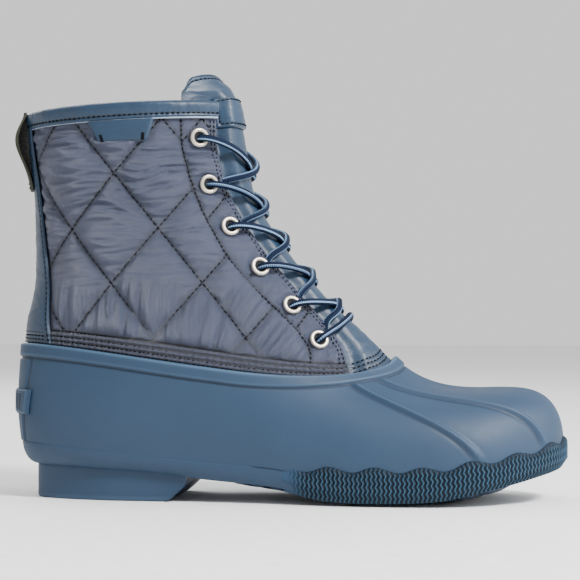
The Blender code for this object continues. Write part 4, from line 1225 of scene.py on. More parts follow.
def shaft_form(turn, level, up, back):
    """How far the quilted cloth stands out, and its marks (painted shade in its grooves and valleys, and
    where folds stand upright), from where a point lies.

    Every stitched line ties the cloth down; between lines it swells by 1 - exp(-distance), and
    folds cross it, lying flat in the upper diamonds and upright near the band."""
    half = half_turn(turn)
    along, high = SHAFT.place(half, level)
    side = np.where(turn > 180, 40.0, 0.0)
    seam = back - EYESTAY.read(level).back * MM
    eyestay = (seam < 0) * 1.0
    one, two = quilt_distance(along, high, eyestay)
    strip = (half - HEEL_STRIP.read(level).half) * turn_speed(half, level)
    band = up - band_top(half)
    below = (COLLAR - level) * CUFF_LEVEL_STEP - BAND_HEIGHT
    tied = (1 - np.exp(-one / LINE_HOLD)) * (1 - np.exp(-two / LINE_HOLD))
    seams = [(np.abs(seam), 3.5), (back - 1.2 * MM, 2.2), (strip, 2.5), (band, 3.5), (below, 3.0)]
    for line, soft in seams + [(eyelet_gap(half, level), 2.5)]:
        tied = tied * (1 - np.exp(-np.maximum(line, 0) / (soft * MM)))
    nearest = np.minimum(np.minimum(one, two), np.minimum(np.abs(seam), np.abs(band)))
    wind = noise(along / (26 * MM) + side, high / (21 * MM), 5)
    upright = ease((119 * MM + 12 * MM * wind - high) / (27 * MM))
    flat = noise(along / (38 * MM) + side + 0.35 * wind, high / (4.8 * MM) + 0.9 * wind, 11)
    flat = flat + 0.35 * noise(along / (24 * MM) + side, high / (2.1 * MM) + 0.8 * wind, 12)
    lean = along - (high - 92 * MM) * (0.1 + 0.75 * ease((along + 45 * MM) / (45 * MM)))
    drift = 0.2 + high / (200 * MM) + 0.25 * wind
    tall = noise(lean / (3.4 * MM) + side + 0.6 * wind, drift, 21)
    tall = 0.75 * tall + 0.35 * noise(lean / (1.8 * MM) + side + 0.9 * wind, drift, 22)
    calm = 0.4 + 0.6 * ease((high - 114 * MM) / (30 * MM))
    fold = (1 - upright) * calm * (0.42 - np.abs(flat)) + upright * 0.72 * tall
    fold = fold * MM * 2.3 * (0.25 + 0.75 * ease(tied / 0.4))
    pucker = 0
    for way, line in ((along + high, one), (along - high, two), (high, np.abs(seam))):
        pucker = pucker + np.sin(2 * np.pi * way / THREAD_PITCH) * np.exp(-line / PUCKER_REACH)
    swell = PUFF * np.where(eyestay > 0, 0.8, 1.0)
    out = STITCH_LINE + swell * tied + fold + 0.17 * MM * pucker
    narrow = near(nearest, 0.65 * MM)
    out = out - 0.30 * MM * narrow
    # The band: three rows of beads between stitches
    rows_in = ease((band_top(half) - up) / (0.8 * MM))
    bead = 0.5 + 0.5 * np.cos(2 * np.pi * along / BEAD_PITCH)
    row = 0.5 - 0.5 * np.cos(2 * np.pi * 3 * np.clip(up / band_top(half), 0, 1))
    beads = -0.35 * MM + 1.15 * MM * row**0.7 * (0.3 + 0.7 * bead)
    out = out * (1 - rows_in) + beads * rows_in
    # Painted shade: darker in the stitched grooves, over the wider valleys beside every line, between the
    # band's beads and along the band's top edge.
    valley_shade = 0.32 * near(nearest, 2.4 * MM)
    groove = np.maximum(narrow * 0.8, valley_shade) * (1 - rows_in)
    groove = groove + rows_in * (0.9 - 0.9 * row**0.7 * (0.35 + 0.65 * bead))
    groove = np.clip(groove + 0.6 * near(band, 0.5 * MM), 0, 1)
    patch = ease((1 - np.abs(half - PATCH_TURN) / 17.5) * 5)
    patch = patch * ease((PATCH_HEIGHT + 0.6 * MM - below) / (1.5 * MM))
    out = out * (1 - patch) - 0.5 * MM * patch
    edge_roll = near(back, 1.3 * MM)
    out = out + 0.3 * MM * edge_roll
    return out, {"groove": groove, "upright": upright}, along, high


def make_shaft():
    """The quilted shaft: a padded wall open at the collar, throat and underneath."""
    share = np.linspace(0, 1, 401)
    ruler = Ruler(lambda level: throat_turns(level, share[None, :]), -0.05, 6.1, 0)
    low = np.concatenate([[-2, 0.0], np.arange(0.45, 12.1, 0.45)]) * MM
    low_levels = ruler.level(low[:, None])
    low_levels[0] = -0.03
    top = COLLAR - 1.5 * MM / CUFF_LEVEL_STEP
    rest = np.linspace(0, 1, 172)[1:, None]
    levels = np.vstack([low_levels, low_levels[-1] + (top - low_levels[-1]) * rest])
    turns = np.mod(throat_turns(levels, share[None, :]), 360)
    run = run_along(body(turns, levels))
    back = np.minimum(run, run[:, -1:] - run)
    up = ruler.distance(levels)
    out, marks, along, high = shaft_form(turns, levels, up, back)
    out = np.where(levels < 0, -0.6 * MM, out)
    outer = skin(turns, levels, out)
    cuts = np.linspace(0, len(levels) - 1, 14).round().astype(int)
    inner = skin(turns[cuts], levels[cuts], -SHAFT_WALL + 0.2 * MM)
    uv = np.stack([along, high], axis=-1)
    shaft = add_wall("quilted_shaft", outer, inner, MATERIALS.nylon, marks=marks, uv=uv)
    dress(shaft, "nylon", "upper")
    return shaft


def shaft_place(turn, level):
    """A point on the quilted cloth and its normal, for thread and trim that lie on it."""
    turn = np.mod(turn, 360)
    return lying(turn, level, shaft_form(turn, level, *edges_of(turn, level))[0])


def quilt_lines():
    """Stitched quilting lines of both sides, cut where other pieces or seams end them."""
    lines = []
    for shifted in (0, 1):
        for family in (0, 1):
            for k in range(-6, 7):
                sweep = np.linspace(-6, 6, 900)
                first = np.full(sweep.shape, float(k)) if family == 0 else sweep
                second = sweep if family == 0 else np.full(sweep.shape, float(k))
                first, second = first - 0.55 * shifted, second - 0.45 * shifted
                first = first - BACK_SHIFT * ease((-1 - first) / (1 + BACK_SHIFT))
                place = QUILT_CENTRE + first[:, None] * QUILT_FORWARD + second[:, None] * QUILT_BACK
                turn, level = SHAFT.find(place[:, 0], place[:, 1])
                along, high = SHAFT.place(turn, level)
                found = np.hypot(along - place[:, 0], high - place[:, 1])
                up, back = edges_of(turn, level)
                seam = back - EYESTAY.read(level).back * MM
                keep = (found < 0.5 * MM) & (up > band_top(turn) + 0.5 * MM) & (level < 5.62)
                keep &= turn > HEEL_STRIP.read(level).half + 0.8
                keep &= (seam < -0.8 * MM) & (back > 3.5 * MM) if shifted else seam > 0.8 * MM
                keep &= eyelet_gap(turn, level) > 0.5 * MM
                lines += cut_runs(turn, level, keep)
    return lines


def cut_runs(turn, level, keep):
    """Splits a line where keep is false."""
    edges = np.flatnonzero(np.diff(np.concatenate([[0], keep.astype(int), [0]])))
    return [(turn[a:b], level[a:b]) for a, b in zip(edges[::2], edges[1::2]) if b - a > 12]


def both_sides(lines):
    """Each line of turns and levels on the outer side, and its mirror on the inner side, as points."""
    made = []
    for turn, level in lines:
        made.append(shaft_place(turn, level))
        made.append(shaft_place(360 - turn, level))
    return made


def back_to_turn(back, level):
    """The half turn that lies a distance behind the throat's edge."""
    edge = LEG.read(level).throat
    speed = turn_speed(180 - edge, level)
    turn = 180 - edge - back / speed
    for _ in range(3):
        middle = (180 - edge + turn) / 2
        turn = 180 - edge - back / turn_speed(middle, level)
    return turn


def make_quilt_thread():
    """The navy thread of the quilting."""
    return add_stitches("quilt_thread", both_sides(quilt_lines()), "nylon")


def make_seam_thread():
    """Thread of the eyestay seam, the facings' double edge and the rows of the band."""
    level = np.linspace(0.42, 5.58, 300)
    seam = back_to_turn(EYESTAY.read(level).back * MM, level)
    lines = [(seam, level)]
    level = np.linspace(0.3, 5.58, 300)
    for inset in (1.5, 3.7):
        lines.append((back_to_turn(np.full(300, inset * MM), level), level))
    made = both_sides(lines)
    half = np.linspace(34, 145, 260)
    for share in (0.02, 1 / 3, 2 / 3, 1.03):
        ruler = Ruler(lambda level: half[None, :] + 0 * level, 0, 1.2, 0)
        level = ruler.level((band_top(half) * share)[None, :])[0]
        keep = half < 180 - LEG.read(level).throat - 2
        made += both_sides([(half[keep], level[keep])])
    return add_stitches("seam_thread", made, "nylon", pitch=2.3 * MM, lift=0.16 * MM)


def collar_level(turn, down):
    """The level a distance down from the collar."""
    span = np.linalg.norm(leg(turn, COLLAR) - leg(turn, COLLAR - 1), axis=-1)
    return COLLAR - down / span


def make_collar():
    """The leather cuff: a strip folded over the top edge, wrinkled a little, with a stitched groove."""
    share = np.linspace(0, 1, 361)
    inside = -SHAFT_WALL - GAP
    face = GAP + LEATHER
    profile = [(BAND_HEIGHT - 0.2 * MM, GAP), (BAND_HEIGHT, GAP + 0.4 * MM)]
    profile += [(BAND_HEIGHT - 0.3 * MM, face - 0.2 * MM)]
    profile += [(down * MM, face) for down in (8.9, 8.4, 8.0, 7.6, 7.2, 6.6, 5.6, 4.6, 3.6, 2.6)]
    angle = np.linspace(0, np.pi, 11)
    middle, reach = (face + inside - LEATHER) / 2, (face - inside + LEATHER) / 2
    profile += [(2.4 * MM - 2.4 * MM * np.sin(a), middle + reach * np.cos(a)) for a in angle]
    profile += [(down * MM, inside - LEATHER) for down in (3.5, 6, 9)] + [(BAND_HEIGHT, inside)]
    rings = []
    grooves = []
    for down, away in profile:
        level = COLLAR - down / CUFF_LEVEL_STEP
        turns = np.mod(throat_turns(np.array(level), share), 360)
        outer_face = away > GAP + 0.5 * MM
        stitch = near(down - CUFF_STITCH, 0.5 * MM) * outer_face
        wrinkle = noise(turns / 3.1, down / (6 * MM) + 0 * turns, 31) * 0.16
        wrinkle = wrinkle + noise(turns / 9, down / (9 * MM) + 0 * turns, 32) * 0.22
        pull = 0.12 * np.sin(2 * np.pi * share * CUFF_STITCHES) * near(down - CUFF_STITCH, 1.6 * MM)
        lift = (wrinkle + pull) * MM * outer_face * ease(down / (2 * MM) + 0.4) - 0.45 * MM * stitch
        swell = 0.5 * MM * bump((down - 3.5 * MM) / (4 * MM)) * outer_face
        rings.append(skin(turns, collar_level(turns, down), away + lift + swell))
        # Painted shade in the stitched groove.
        grooves.append(np.full(share.shape, 0.7 * stitch))
    rings = np.stack(rings, axis=1)
    faces = closed_tube(len(share), rings.shape[1])
    marks = {"groove": np.stack(grooves, axis=1)}
    cuff = add_piece("leather_cuff", rings, faces, MATERIALS.leather, marks=marks)
    dress(cuff, "leather", "collar_band")
    half = np.linspace(4, 148, 500)
    lines = []
    for turns in (half, 360 - half):
        level = collar_level(turns, CUFF_STITCH)
        lines.append(lying(turns, level, face - 0.4 * MM))
    return add_stitches("cuff_thread", lines, "leather", pitch=2.6 * MM, lift=0.2 * MM)


def make_piping():
    """The pale piping that shows under the cuff on each side, thicker towards the front."""
    for name, low, high in (("piping_outer", 20, 146.5), ("piping_inner", 213.5, 340)):
        turns = np.linspace(low, high, 220)
        level = collar_level(turns, BAND_HEIGHT + 0.15 * MM)
        half = half_turn(turns)
        radius = (0.22 + 0.32 * ease((half - 60) / 80)) * MM
        path = skin(turns, level, 0.55 * MM)
        dress(add_tube(name, path, radius, MATERIALS.piping, sides=8), "leather")


def make_heel_strip():
    """The leather strip up the back: a thin sheet with rolled edges, soft creases and a stitched groove."""
    share = np.linspace(-1, 1, 81)
    low, top = 0.04, COLLAR - (BAND_HEIGHT + GAP) / LEVEL_STEP
    levels = np.linspace(low, top, 170)[:, None]
    half = HEEL_STRIP.read(levels).half
    turns = half * share[None, :]
    grid = np.broadcast_to(levels, turns.shape)
    aside = (1 - np.abs(share))[None, :] * half * turn_speed(half, levels)
    up = np.linalg.norm(leg(turns, grid) - leg(turns, 0.0), axis=-1)
    stitch = near(aside - HEEL_STITCH, 0.45 * MM)
    rolled = rounded(aside / (0.8 * MM))
    wind = noise(turns / 20, grid * 2, 41)
    crease = 0.45 - np.abs(noise(turns / 26 + 0.4 * wind, grid * 3.6 + 0.8 * wind, 42))
    crease = crease * 0.45 * MM * ease(aside / (5 * MM)) * ease(up / (14 * MM))
    rows_in = ease((HEEL_ROWS - up) / (1 * MM))
    row = 0.5 - 0.5 * np.cos(2 * np.pi * 3 * np.clip(up / HEEL_ROWS, 0, 1))
    out = GAP + 0.2 * MM + (LEATHER - 0.2 * MM) * rolled + crease - 0.4 * MM * stitch
    out = out - 0.45 * MM * rows_in * (1 - row)
    outer = skin(turns, grid, out)
    inner = skin(turns[::13], grid[::13], GAP)
    # Painted shade in the stitched groove and between the rows at the foot.
    marks = {"groove": np.clip(0.6 * stitch + 0.5 * rows_in * (1 - row), 0, 1)}
    strip = add_wall("heel_strip_leather", outer, inner, MATERIALS.leather, marks=marks)
    dress(strip, "leather", "heel_strip")
    lines = []
    level = np.linspace(0.1, top, 240)
    edge = HEEL_STRIP.read(level).half
    aside = edge - HEEL_STITCH / turn_speed(edge, level)
    for turns in (aside, -aside):
        lines.append(lying(turns, level, GAP + LEATHER - 0.35 * MM))
    across = np.linspace(-30, 30, 120)
    for high in (0.1, 2.3, 4.5, 6.8):
        level = np.full(across.shape, 0.06) + high * MM / (16 * MM)
        lines.append(lying(across, level, GAP + LEATHER - 0.35 * MM))
    return add_stitches("heel_strip_thread", lines, "leather", pitch=2.6 * MM, lift=0.18 * MM)


def make_patch():
    """The bare leather patch under the cuff, with a bar tack at each lower corner."""
    share, rows = np.linspace(-1, 1, 71), np.linspace(0, 1, 31)[:, None]
    down = BAND_HEIGHT + GAP + PATCH_HEIGHT * (1 - rows)
    half = 12.5 + 5.5 * rows - 0.9 * (1 - rows) ** 12
    turns = PATCH_TURN + half * share[None, :]
    levels = collar_level(turns, down + 0 * turns)
    rounding = ease((1 - np.abs(share))[None, :] * 12) * ease(rows * 8)
    out = GAP + LEATHER * (0.3 + 0.7 * rounding) + 0.10 * MM * noise(turns / 5, rows * 3 + 0 * turns, 51)
    frame_line = near(rows - 0.06, 0.035) * (np.abs(share) < 0.86)[None, :]
    out = out - 0.25 * MM * frame_line
    # Painted shade in the pressed frame line.
    marks = {"groove": 0.5 * frame_line + 0 * turns}
    outer, inner = skin(turns, levels, out), skin(turns[::6], levels[::6], GAP)
    patch = add_wall("side_patch_leather", outer, inner, MATERIALS.leather, marks=marks)
    dress(patch, "leather", "side_patch")
    lines = []
    for side in (-1, 1):
        for k in range(7):
            turn = PATCH_TURN + side * (10.5 + 0.1 * k) + np.linspace(-0.9, 0.9, 8)
            level = collar_level(turn, BAND_HEIGHT + PATCH_HEIGHT - (0.5 + 0.5 * k) * MM)
            lines.append(lying(turn, level, GAP + LEATHER + 0.05 * MM))
    return add_stitches(
        "patch_tacks", lines, "leather", pitch=1.9 * MM, fill=1.0, radius=0.28 * MM, lift=0.1 * MM
    )


def make_pull_loop():
    """The webbing loop: sewn down at both ends, bowed and flat across between them, with thicker edges."""
    across = np.linspace(-1, 1, 41)
    turns, shares = np.meshgrid(LOOP_TURN * across, np.linspace(0, 1, 150))
    levels = collar_level(turns, LOOP_HEIGHT * (1 - shares))
    free = np.clip(np.sin(np.pi * np.clip(shares, 0, 1) ** 1.3), 0, 1) ** 1.5
    faces = []
    rounding = np.sqrt(np.clip(1 - np.abs(across) ** 8, 0, 1))[None, :]
    for out in (2 * GAP + LEATHER, 2 * GAP + LEATHER + LOOP_THICK):
        roll = (rounding - 1) * LOOP_THICK * 0.35 * (1 if out > 2 * MM else -1)
        face = skin(turns, levels, out + LOOP_BOW * free + roll)
        middle = face[:, len(across) // 2, 0][:, None]
        face[..., 0] += (middle - face[..., 0]) * free
        faces.append(face)
    uv = np.stack([turns * 0.66 * MM, shares * LOOP_HEIGHT], axis=-1)
    edge = ease((np.abs(across) - 0.82) / 0.1)[None, :] + 0 * shares
    marks = {"edge": np.concatenate([edge.ravel(), edge.ravel()])}
    uv = np.concatenate([uv.reshape(-1, 2), uv.reshape(-1, 2)])
    loop = add_wall("webbing_loop", faces[1], faces[0], MATERIALS.webbing, marks=marks, uv=uv)
    dress(loop, "webbing", "pull_loop")
    lines = []
    for share in (0.035, 0.085):
        turn = np.linspace(-LOOP_TURN + 1.5, LOOP_TURN - 1.5, 60)
        level = collar_level(turn, LOOP_HEIGHT * (1 - share))
        lines.append(lying(turn, level, 2 * GAP + LEATHER + LOOP_THICK))
    return add_stitches("loop_thread", lines, "webbing", pitch=2.2 * MM)


def tongue_turns(levels, share):
    """Turns of the tongue at shares of its half width: its middle, where it shows, and its tucked edges."""
    row = LEG.read(levels)
    reveal = row.throat - TONGUE_REVEAL
    knots = [0 * reveal, reveal / 2, reveal, row.throat - TONGUE_TURN_IN, (row.tongue + row.throat) / 2]
    knots = np.stack(knots + [row.tongue], axis=-1)
    place = np.abs(share) * 5
    i = np.clip(place.astype(int), 0, 4)
    part = place - i
    i = np.broadcast_to(i, levels.shape)[..., None]
    low, high = (np.take_along_axis(knots, i + step, axis=-1)[..., 0] for step in (0, 1))
    return 180 + np.sign(share) * (low * (1 - part) + high * part)


def tongue_lean(level, share):
    """How far the tongue's free top leans back at its middle."""
    return 2.6 * MM * ease((level - 6.5) / 0.75) * (1 - ease(np.abs(share) / 0.8))


def tongue_out(turn, level):
    """How far the tongue stands from the form: level with it in the throat, set in below the facings."""
    edge = LEG.read(np.maximum(level, 0)).throat
    aside = np.abs(turn - 180)
    hidden = ease((aside - edge + TONGUE_REVEAL) / (TONGUE_REVEAL - TONGUE_TURN_IN))
    free = ease(aside / 54)
    hidden = hidden + (free - hidden) * ease((level - COLLAR) / 0.5)
    under = SHAFT_WALL + 2 * GAP + (LEATHER + 2 * GAP) * ease((level - 4.5) / 0.8)
    return -under * hidden


def tongue_face(turns, levels, share, edge):
    """The tongue's outer face with its folds, stitched border and lean, and its groove mark of painted shade
    in the border's and gusset rows' stitch grooves.
    """
    wind = noise(turns / 13, levels * 1.4, 61)
    low = 1 - ease((levels - 1.3) / 1.0)
    across = 0.4 - np.abs(noise(turns / 22 + 0.3 * wind, levels * 3.0 + 0.8 * wind, 62))
    down = 0.4 - np.abs(noise(turns / 5.5 + 0.5 * wind, levels * 1.2, 63))
    fold = (0.8 * across + 0.25 * low * down) * 0.8 * MM * (0.35 + 0.35 * low) * ease(edge / (6 * MM))
    free = ease((levels - 6.1) / 0.2)
    border = near(edge - TONGUE_BORDER, 0.45 * MM) * free + 0.8 * near(edge - 1.6 * MM, 0.35 * MM) * free
    rows = np.zeros(np.shape(turns))
    for level in GUSSET_ROWS:
        rows = np.maximum(rows, near(levels - level - 0.02 * wind, 0.028))
    rolled = rounded(edge / (0.9 * MM))
    out = tongue_out(turns, levels) + fold - 0.4 * MM * border - 0.35 * MM * rows * ease(low)
    out = out - tongue_lean(levels, share)
    # The second value is painted shade in the stitched border and the gusset's rows.
    return out - (1 - rolled) * TONGUE_WALL * 0.6, np.clip(0.6 * border + 0.7 * rows, 0, 1)


def make_tongue():
    """The leather tongue and gusset: one sheet from inside the shell's front up past the collar."""
    share = np.linspace(-1, 1, 161)
    top = TONGUE_TOP.read(np.abs(share)).top[None, :]
    rise = np.linspace(0, 1, TONGUE_ROWS)[:, None] * TONGUE_FREE + 0 * top
    beyond = np.linspace(0, 1, TONGUE_TOP_ROWS + 1)[1:, None]
    levels = np.vstack([rise, TONGUE_FREE + (top - TONGUE_FREE) * beyond])
    levels[0] = -0.05
    shares = np.broadcast_to(share, levels.shape)
    turns = tongue_turns(np.maximum(levels, 0), shares)
    edge = np.minimum((top - levels) * TONGUE_LEVEL_STEP, WELL_INSIDE)
    out, groove = tongue_face(turns, levels, shares, edge)
    back = tongue_out(turns, levels) - TONGUE_WALL - tongue_lean(levels, shares)
    last = len(levels) - 1
    cuts = np.unique([*range(0, TONGUE_ROWS, 9), *range(TONGUE_ROWS, last, 4), last])
    outer, inner = skin(turns, levels, out), skin(turns, levels, back)[cuts]
    tongue = add_wall(
        "leather_tongue", outer, inner, MATERIALS.leather, cuts=cuts, marks={"groove": groove}
    )
    return dress(tongue, "leather", "tongue")


def make_tongue_thread():
    """Thread along the tongue's top border and the three rows at the gusset's base."""
    share = np.linspace(-0.93, 0.93, 260)
    top = TONGUE_TOP.read(np.abs(share)).top
    border = np.maximum(top - TONGUE_BORDER / TONGUE_LEVEL_STEP, 6.15)
    rows = [(share, border, TONGUE_BORDER)]
    share = np.linspace(-0.6, 0.6, 160)
    rows += [(share, np.full(share.shape, level), WELL_INSIDE) for level in GUSSET_ROWS]
    lines = []
    for share, level, edge in rows:
        turns = tongue_turns(level, share)
        out, _ = tongue_face(turns, level, share, np.full(share.shape, edge))
        lines.append(lying(turns, level, out + 0.05 * MM))
    return add_stitches("tongue_thread", lines, "leather", pitch=2.5 * MM, lift=0.2 * MM)


def make_keeper():
    """The bare leather keeper across the tongue, with a stitched groove inside its edge."""
    shares, rows = np.meshgrid(np.linspace(-1, 1, 71), np.linspace(0, 1, 51))
    down = KEEPER_HEIGHT * (1 - rows) - KEEPER_ABOVE
    levels = collar_level(180 + 0 * shares, down)
    reach = KEEPER_TURN + KEEPER_FLARE * (1 - rows)
    turns = 180 + shares * reach
    end = np.minimum(rows, 1 - rows) * KEEPER_HEIGHT
    edge = np.minimum((1 - np.abs(shares)) * 20 * MM, end)
    rolled = rounded(edge / (0.7 * MM))
    stitch = near(edge - 1.8 * MM, 0.35 * MM)
    base = tongue_out(turns, levels) + 1.5 * GAP
    fold = 0.15 * MM * noise(turns / 6, rows * 4, 71)
    out = base + 0.3 * MM + 1.1 * MM * rolled + fold - 0.35 * MM * stitch
    outer, inner = skin(turns, levels, out), skin(turns[::10], levels[::10], base[::10])
    # Painted shade in the stitched groove.
    keeper = add_wall("keeper_leather", outer, inner, MATERIALS.leather, marks={"groove": 0.6 * stitch})
    dress(keeper, "leather", "tongue_keeper")
    lines = []
    span, climb = np.linspace(-0.91, 0.91, 60), np.linspace(0.11, 0.89, 60)
    for across, row in ((span, 0.11), (span, 0.89), (-0.91, climb), (0.91, climb)):
        level = collar_level(np.full(60, 180.0), KEEPER_HEIGHT * (1 - row) - KEEPER_ABOVE)
        turn = 180 + across * (KEEPER_TURN + KEEPER_FLARE * (1 - row))
        lines.append(lying(turn, level, tongue_out(turn, level) + 1.65 * MM))
    return add_stitches("keeper_thread", lines, "leather", pitch=2.3 * MM)


def eyelet_place(pair, side):
    """The turn and level of an eyelet. side is -1 on the outer facing and 1 on the inner one."""
    level = float(LACING.read(pair).eyelet)
    edge = 180 + side * float(LEG.read(level).throat)
    turn = edge + side * EYELET_SETBACK / float(turn_speed(np.array(edge), level))
    return turn, level


def eyelet_frame(pair, side):
    """The centre of an eyelet and three directions: out of the shaft, across and up."""
    turn, level = eyelet_place(pair, side)
    normal = normal_at(np.array(turn), np.array(level))
    centre = body(np.array(turn), np.array(level)) + normal * 0.5 * MM
    across = np.cross(normal, (0.0, 0.0, 1.0))
    across /= np.linalg.norm(across)
    return centre, normal, across, np.cross(normal, across)


def make_eyelets():
    """Each eyelet: a turned rim of rounded section with a barrel that runs in through the cloth, and a
    near-black tube inside its hole as painted shade.
    """
    angle = np.linspace(0, 2 * np.pi, 48, endpoint=False)
    roll = np.linspace(0, 1, 15)
    middle, reach = (EYELET_RADIUS + EYELET_HOLE) / 2, (EYELET_RADIUS - EYELET_HOLE) / 2
    profile = [(EYELET_HOLE * 0.96, -3.2), (EYELET_HOLE, 0.2)]
    profile += [(middle - reach * np.cos(np.pi * t), 0.3 + 0.8 * np.sin(np.pi * t) ** 0.8) for t in roll]
    profile += [(EYELET_RADIUS, -0.1), (EYELET_RADIUS - 0.6 * MM, -0.3), (EYELET_HOLE + 0.4 * MM, -3.2)]
    shades = []
    for pair in PAIRS:
        for side, label in ((-1, "outer"), (1, "inner")):
            centre, normal, across, upward = eyelet_frame(pair, side)
            spokes = np.cos(angle)[:, None] * across + np.sin(angle)[:, None] * upward
            rings = [centre + spokes * radius + normal * high * MM for radius, high in profile]
            rings, size = np.stack(rings, axis=1), len(profile)
            faces = grid_quads(len(angle), size, wrap=True)
            last = (len(angle) - 1) * size
            faces += [[last + k, last + (k + 1) % size, (k + 1) % size, k] for k in range(size)]
            ring = add_piece(f"eyelet_ring_{label}_{pair}", rings, faces, MATERIALS.metal)
            dress(ring, "eyelet_metal", f"eyelet_{label}_{pair}")
            # A near-black tube inside the hole: painted shade, not a part of the boot.
            disc = centre + spokes * EYELET_HOLE * 0.97
            shades.append(np.stack([disc + normal * high for high in (-2 * MM, -0.4 * MM)]))
    faces = copied(closed_tube(2, len(angle)), 2 * len(angle), len(shades))
    return dress(add_piece("eyelet_shades", np.stack(shades), faces, MATERIALS.tube), "eyelet_metal")


def smooth_path(points, count):
    """A smooth curve through points, as cubics between them by the distance along, evenly read."""
    points = np.asarray(points, float)
    run = path_run(points)
    table = Table("run x y z", np.column_stack([run, points]))
    row = table.read(np.linspace(0, run[-1], count))
    path = np.stack([row.x, row.y, row.z], axis=1)
    spread = np.exp(-((np.arange(-16, 17) / 4.6) ** 2) / 2)
    padded = np.concatenate([np.repeat(path[:1], 16, axis=0), path, np.repeat(path[-1:], 16, axis=0)])
    columns = [np.convolve(padded[:, k], spread / spread.sum(), mode="valid") for k in range(3)]
    return np.stack(columns, axis=1)


def lace_route(first):
    """One half of the lace, from behind a top eyelet, out and over the tongue, under the far facing and
    out of the next eyelet down, to the lowest pair. first is the side it starts on."""
    route = []
    side = first
    for pair in PAIRS[:-1]:
        centre, normal, _, _ = eyelet_frame(pair, side)
        turn, level = eyelet_place(pair, side)
        row = LACING.read(pair)
        toward = 180 - turn
        speed = float(turn_speed(np.array(turn), np.array(level)))
        out = LACE_RADIUS + 0.5 * MM
        over = 2.6 * MM if side > 0 else 0.0
        route.append(centre - normal * 3.0 * MM)
        drop = row.cross - level
        nudge = skin(turn + toward * 0.02, level, 0.0) - skin(turn, level, 0.0)
        route.append(centre + normal * 1.2 * MM + nudge)
        lip = turn + np.sign(toward) * (EYELET_RADIUS + 1.0 * MM) / speed
        route.append(skin(lip, level + drop * 0.06, out + 1.4 * MM))
        route.append(skin(180 + (turn - 180) * 0.55, level + drop * 0.34, out + 1.3 * MM))
        route.append(skin(180 + (turn - 180) * 0.24, level + drop * 0.74, out + 0.3 * MM + over * 0.6))
        route.append(skin(180.0, float(row.cross), 0.4 * MM + over))
        dive = float(row.dive)
        edge = 180 - side * float(LEG.read(dive).throat)
        halfway = 180 - side * float(LEG.read(dive).throat) * 0.5
        route.append(skin(halfway, dive + (row.cross - dive) * 0.45, out + 0.3 * MM))
        route.append(skin(edge + side * 1.5, dive, -0.9 * MM))
        side = -side
        next_centre, next_normal, _, _ = eyelet_frame(pair + 1, side)
        route.append(skin(edge + side * 4.0, (dive + eyelet_place(pair + 1, side)[1]) / 2, -2.2 * MM))
        if pair == 5:
            route.append(next_centre - next_normal * 2.6 * MM)
    return route, side


def make_lace():
    """The lace: one round cord, two crossing halves joined by the straight bar at the lowest pair."""
    first, _ = lace_route(-1)
    second, _ = lace_route(1)
    end_first, end_second = eyelet_frame(6, 1), eyelet_frame(6, -1)
    turn, level = eyelet_place(6, 1)
    cross = float(LACING.read(6).cross)
    bar = [end_first[0] + end_first[1] * 1.4 * MM]
    for share in (0.62, 0.3, 0.0, -0.3, -0.62):
        low = level + (cross - level) * (1 - share**2)
        bar.append(skin(180 + (turn - 180) * share, low, LACE_RADIUS + 0.3 * MM))
    bar += [end_second[0] + end_second[1] * 1.4 * MM]
    route = first + bar + second[::-1]
    path = smooth_path(route, 2000)
    lace = add_tube("round_lace", path, LACE_RADIUS, MATERIALS.lace, sides=12, sharp=80)
    nodes = [f"lace_cross_{k}" for k in PAIRS[:-1]] + ["lace_bar"]
    return dress(lace, "lace", *nodes)


def make_lining():
    """The shaft's lining: a thin felt sheet on the inside of its wall."""
    share = np.linspace(0.0, 1, 161)
    levels = np.linspace(-0.25, COLLAR - 0.42, 60)[:, None]
    turns = np.mod(throat_turns(levels, share[None, :]), 360)
    grid = np.broadcast_to(levels, turns.shape)
    ripple = 0.3 * MM * noise(turns / 16, grid * 2, 81)
    inner = skin(turns, grid, -SHAFT_WALL - 0.5 * MM + ripple)
    outer = skin(turns, grid, -SHAFT_WALL + 0.15 * MM)
    return dress(add_wall("shaft_lining_sheet", outer, inner[::6], MATERIALS.lining), "sock_lining")


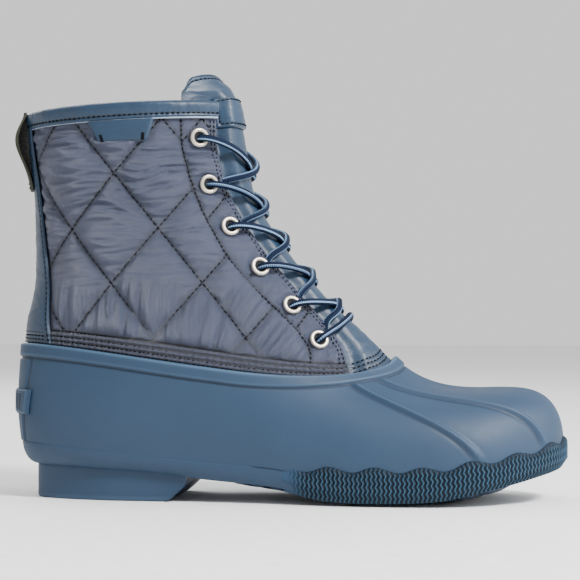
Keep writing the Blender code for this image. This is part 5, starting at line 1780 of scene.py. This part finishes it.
def add_area(name, place, aim, size, power):
    """A soft lamp at a place, aimed at a point."""
    light = bpy.data.lights.new(name, "AREA")
    light.shape = "RECTANGLE"
    light.size, light.size_y = size
    light.energy = power
    lamp = bpy.data.objects.new(name, light)
    bpy.context.scene.collection.objects.link(lamp)
    lamp.location = place
    back = np.array(place) - np.array(aim)
    yaw = math.atan2(back[0], -back[1])
    pitch = math.acos(back[2] / np.linalg.norm(back))
    lamp.rotation_euler = (pitch, 0, yaw)
    return lamp


def make_stage():
    """A pale floor, a white surround and three soft lamps."""
    mesh = bpy.data.meshes.new("floor")
    far = 3.0
    mesh.from_pydata([(-far, -far, 0), (far, -far, 0), (far, far, 0), (-far, far, 0)], [], [(0, 1, 2, 3)])
    mesh.materials.append(plain_material("pale_floor", (0.93, 0.93, 0.93), 0.8, depth=0.0))
    floor = bpy.data.objects.new("floor", mesh)
    bpy.context.scene.collection.objects.link(floor)
    world = bpy.data.worlds.new("studio")
    world.use_nodes = True
    world.node_tree.nodes["Background"].inputs["Color"].default_value = (1, 1, 1, 1)
    world.node_tree.nodes["Background"].inputs["Strength"].default_value = 1.0
    bpy.context.scene.world = world
    aim = (0, 0, 0.09)
    add_area("key_lamp", (0.75, -0.65, 0.95), aim, (0.3, 0.3), 36)
    add_area("front_lamp", (1.1, 0.1, 0.6), aim, (0.5, 0.8), 10)
    add_area("back_lamp", (-0.6, 0.9, 0.9), aim, (0.8, 0.8), 9)


def make_camera():
    """The photograph's camera: level, a little towards the toe, at half the boot's height."""
    camera = bpy.data.cameras.new("camera")
    camera.sensor_width = 36
    camera.lens = 133.1
    camera.clip_start = 0.05
    seat = bpy.data.objects.new("camera", camera)
    bpy.context.scene.collection.objects.link(seat)
    seat.location = (0.1322, -1.0720, 0.1043)
    seat.rotation_euler = (math.radians(90), 0, math.radians(7))
    bpy.context.scene.camera = seat


make_camera()
make_stage()
make_shell()
make_badge()
make_foxing()
make_sole()
make_heel()
make_tread()
make_insole()
make_shaft()
make_quilt_thread()
make_seam_thread()
make_collar()
make_piping()
make_heel_strip()
make_patch()
make_pull_loop()
make_tongue()
make_tongue_thread()
make_keeper()
make_eyelets()
make_lace()
make_lining()
